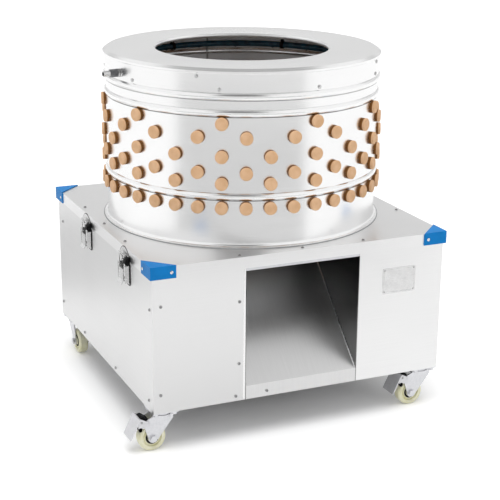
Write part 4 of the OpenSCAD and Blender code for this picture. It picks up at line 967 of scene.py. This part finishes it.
def makeWelds():
    bm = bmesh.new()
    size, sunk, leg = chute["fillet"], chute["sunk"], chute["leg"] * chute["fillet"]
    section = [(-sunk, -sunk), (size, -sunk), (size, chute["toe"])]
    section += [(across * size, up * size) for across, up in chute["hollow"]] + [(0.0, leg), (-sunk, leg)]
    for side in (-1, 1):
        loops = []
        for y in (chute["front"], chute["back"]):
            z = chute["floor"] + (y - chute["edge"]) * math.tan(math.radians(chute["slope"]))
            loops.append([spot(side * (chute["wall"] - across), y, z + up) for across, up in section])
        joinLoops(bm, loops, False)
    addPiece("chuteWelds", bm, "pressed stainless", "cabinet", sharp=50)
    turn = math.radians(inlet["angle"])
    way = (math.sin(turn), -math.cos(turn), 0)
    eye, bore, end, proud = (inlet[k] for k in ("eye", "bore", "tailEnd", "proud"))
    section = [(eye, end - inlet["sunk"]), (bore, end - inlet["sunk"]), (bore, end + proud),
               (eye, end + proud * inlet["dish"])]
    turns = [((0, 0, inlet["height"]), way, section)]
    turnPiece("inletBoreShade", "cover", "black nylon and painted shade", turns, inlet["steps"])


makeWelds()
print("chute welded")


# weld seam down the back of the drum: a rippled bead inside and outside that follows the section
seam = {"angle": 82.76, "halfWidth": 2.2, "proud": 0.9, "sunk": 0.3, "ripple": 0.25, "pitch": 4.0,
        "perPitch": 4, "arcSteps": 6, "low": 412.0, "high": 760.0}


# reach, height and ripple along the seam
def seamPath(radius):
    path = []
    low, length = seam["low"], seam["high"] - seam["low"]
    count = int(length / (seam["pitch"] / seam["perPitch"]))
    for i in range(count + 1):
        z = low + length * i / count
        swell = [beadSwell(z - bead) for bead in drum["beads"] if abs(z - bead) < drum["beadHalf"]]
        ripple = seam["ripple"] * math.sin(2 * math.pi * (z - low) / seam["pitch"])
        path.append((radius + max([0.0] + swell), z, ripple))
    return path


def makeSeam(name, radius, side):
    bm = bmesh.new()
    turn = math.radians(seam["angle"])
    outward = Vector((math.cos(turn), math.sin(turn), 0))
    across = Vector((-math.sin(turn), math.cos(turn), 0))
    bends = [math.pi * i / seam["arcSteps"] for i in range(seam["arcSteps"] + 1)]
    loops = []
    for r, z, ripple in seamPath(radius):
        loop = []
        for bend in bends:
            lift = side * ((seam["proud"] + ripple) * math.sin(bend) - seam["sunk"])
            place = outward * (r + lift) + across * (seam["halfWidth"] * math.cos(bend))
            loop.append(spot(place.x, place.y, z))
        loops.append(loop)
    joinLoops(bm, loops, False)
    addPiece(name, bm, "tumbled steel", "cover", sharp=60)


makeSeam("seamInside", drum["wall"] - drum["sheet"], -1)
makeSeam("seamOutside", drum["wall"], 1)
print("seam welded")


# spray nozzles round the inside of the water ring
nozzles = {"Base": 1.8, "Length": 4.0}
ring = {"radius": 262.0, "tube": 7.0, "height": 742.0, "count": 18,
        "first": 10.0, "droop": 40.0}   # degrees
droop = math.radians(ring["droop"])
reach = ring["radius"] - ring["tube"] * math.cos(droop)
level = ring["height"] - ring["tube"] * math.sin(droop)
jets = []
for i in range(ring["count"]):
    turn = math.radians(ring["first"] + 360 * i / ring["count"])
    way = (-math.cos(turn) * math.cos(droop), -math.sin(turn) * math.cos(droop), -math.sin(droop))
    jets.append((spot(reach * math.cos(turn), reach * math.sin(turn), level), way))
scatter("sprayNozzles", "cover", "blue polyurethane", jets, nozzles, drawNozzle)
print("nozzles set")


# clips of the water ring: a band round the tube, a tab up to the lid and a foot under it
clips = {"first": -165.0, "count": 6, "bandIn": 7.15, "bandOut": 8.9, "half": 4.0, "bandSteps": 28,
         "tabThick": 2.4, "tabLap": 0.4, "footLap": 0.5, "foot": (9.0, 6.0), "footThick": 1.6, "lid": 774.2}


def makeClips():
    bm = bmesh.new()
    near, far, half, lid = (clips[k] for k in ("bandIn", "bandOut", "half", "lid"))
    band = [(near, -half), (far, -half), (far, half), (near, half)]
    # tab and foot: half depth, half width, lower and upper end
    blocks = [(clips["tabThick"] / 2, half, ring["height"] + far - clips["tabLap"], lid - clips["footLap"]),
              (*clips["foot"], lid - clips["footThick"], lid)]
    up = Vector((0, 0, 1))
    for i in range(clips["count"]):
        turn = math.radians(clips["first"] + 360 * i / clips["count"])
        out, side = Vector((math.sin(turn), -math.cos(turn), 0)), Vector((math.cos(turn), math.sin(turn), 0))
        turnSection(bm, out * ring["radius"] + up * ring["height"], side, band, clips["bandSteps"])
        for deep, wide, low, high in blocks:
            joinLoops(bm, [[spot(*(out * (ring["radius"] + a * deep) + side * (b * wide) + up * z))
                            for a, b in ((-1, -1), (1, -1), (1, 1), (-1, 1))] for z in (low, high)], False)
    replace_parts(addPiece("ringClips", bm, "black nylon and painted shade", "cover"), "ring_clips")


makeClips()
print("clips fixed")


# switch box: a raised lid with rounded corners, a bezel round each button and four lid screws
switch = {"x": 230.0, "back": 375.0, "low": 264.0, "high": 374.0, "half": 35.0, "lidIn": 2.0, "lid": 2.2,
          "corner": 5.0, "buttons": (341.0, 297.0), "holeSteps": 32, "screwIn": 8.0,
          "bezelIn": 11.6, "bezelOut": 15.5, "bezelHigh": 3.4, "bezelSunk": 0.5, "bezelSteps": 48,
          "bezelSoft": 0.8, "bezelRound": ((0.0, 1.2), (0.5, 0.3), (1.4, 0.0))}   # steps inwards and down
lidScrews = {"Diameter": 5.0, "Height": 1.4}


# lid with a hole for each button
def makeLid():
    bm = bmesh.new()
    x, back, hole, inset = switch["x"], switch["back"], switch["bezelIn"], switch["lidIn"]
    corners = (x - switch["half"], switch["low"]), (x + switch["half"], switch["high"])
    loops = [roundedOutline(*corners, switch["corner"] + inset, inset)]
    angles = [2 * math.pi * i / switch["holeSteps"] for i in range(switch["holeSteps"])]
    loops += [[(x + hole * math.cos(a), z + hole * math.sin(a)) for a in angles] for z in switch["buttons"]]
    edges = []
    for loop in loops:
        rim = [bm.verts.new(spot(across, back, z)) for across, z in loop]
        edges += [bm.edges.new((rim[i], rim[(i + 1) % len(rim)])) for i in range(len(rim))]
    filled = bmesh.ops.triangle_fill(bm, edges=edges, use_beauty=True)
    faces = [f for f in filled["geom"] if isinstance(f, bmesh.types.BMFace)]
    drawn = bmesh.ops.extrude_face_region(bm, geom=faces)
    moved = [v for v in drawn["geom"] if isinstance(v, bmesh.types.BMVert)]
    bmesh.ops.translate(bm, verts=moved, vec=(0, switch["lid"] * mm, 0))
    addPiece("switchLid", bm, "grey polycarbonate", "cabinet", sharp=30)


def makeSwitch():
    makeLid()
    x, back, deep = switch["x"], switch["back"], switch["lid"]
    near, far, sunk, soft = (switch[k] for k in ("bezelIn", "bezelOut", "bezelSunk", "bezelSoft"))
    high = deep + switch["bezelHigh"]
    section = [(near, deep - sunk), (far, deep - sunk)]
    section += [(far - inwards, high - down) for inwards, down in switch["bezelRound"]]
    section += [(near + soft, high), (near, high - soft)]
    turns = [((x, back, z), (0, 1, 0), section) for z in switch["buttons"]]
    turnPiece("buttonBezels", "cabinet", "black nylon and painted shade", turns, switch["bezelSteps"])
    reach = switch["screwIn"]
    heads = [(spot(x + side * (switch["half"] - reach), back + deep, z), (0, 1, 0))
             for side in (-1, 1) for z in (switch["low"] + reach, switch["high"] - reach)]
    scatter("lidScrews", "cabinet", "tumbled steel", heads, lidScrews, drawDome)


makeSwitch()
print("switch dressed")
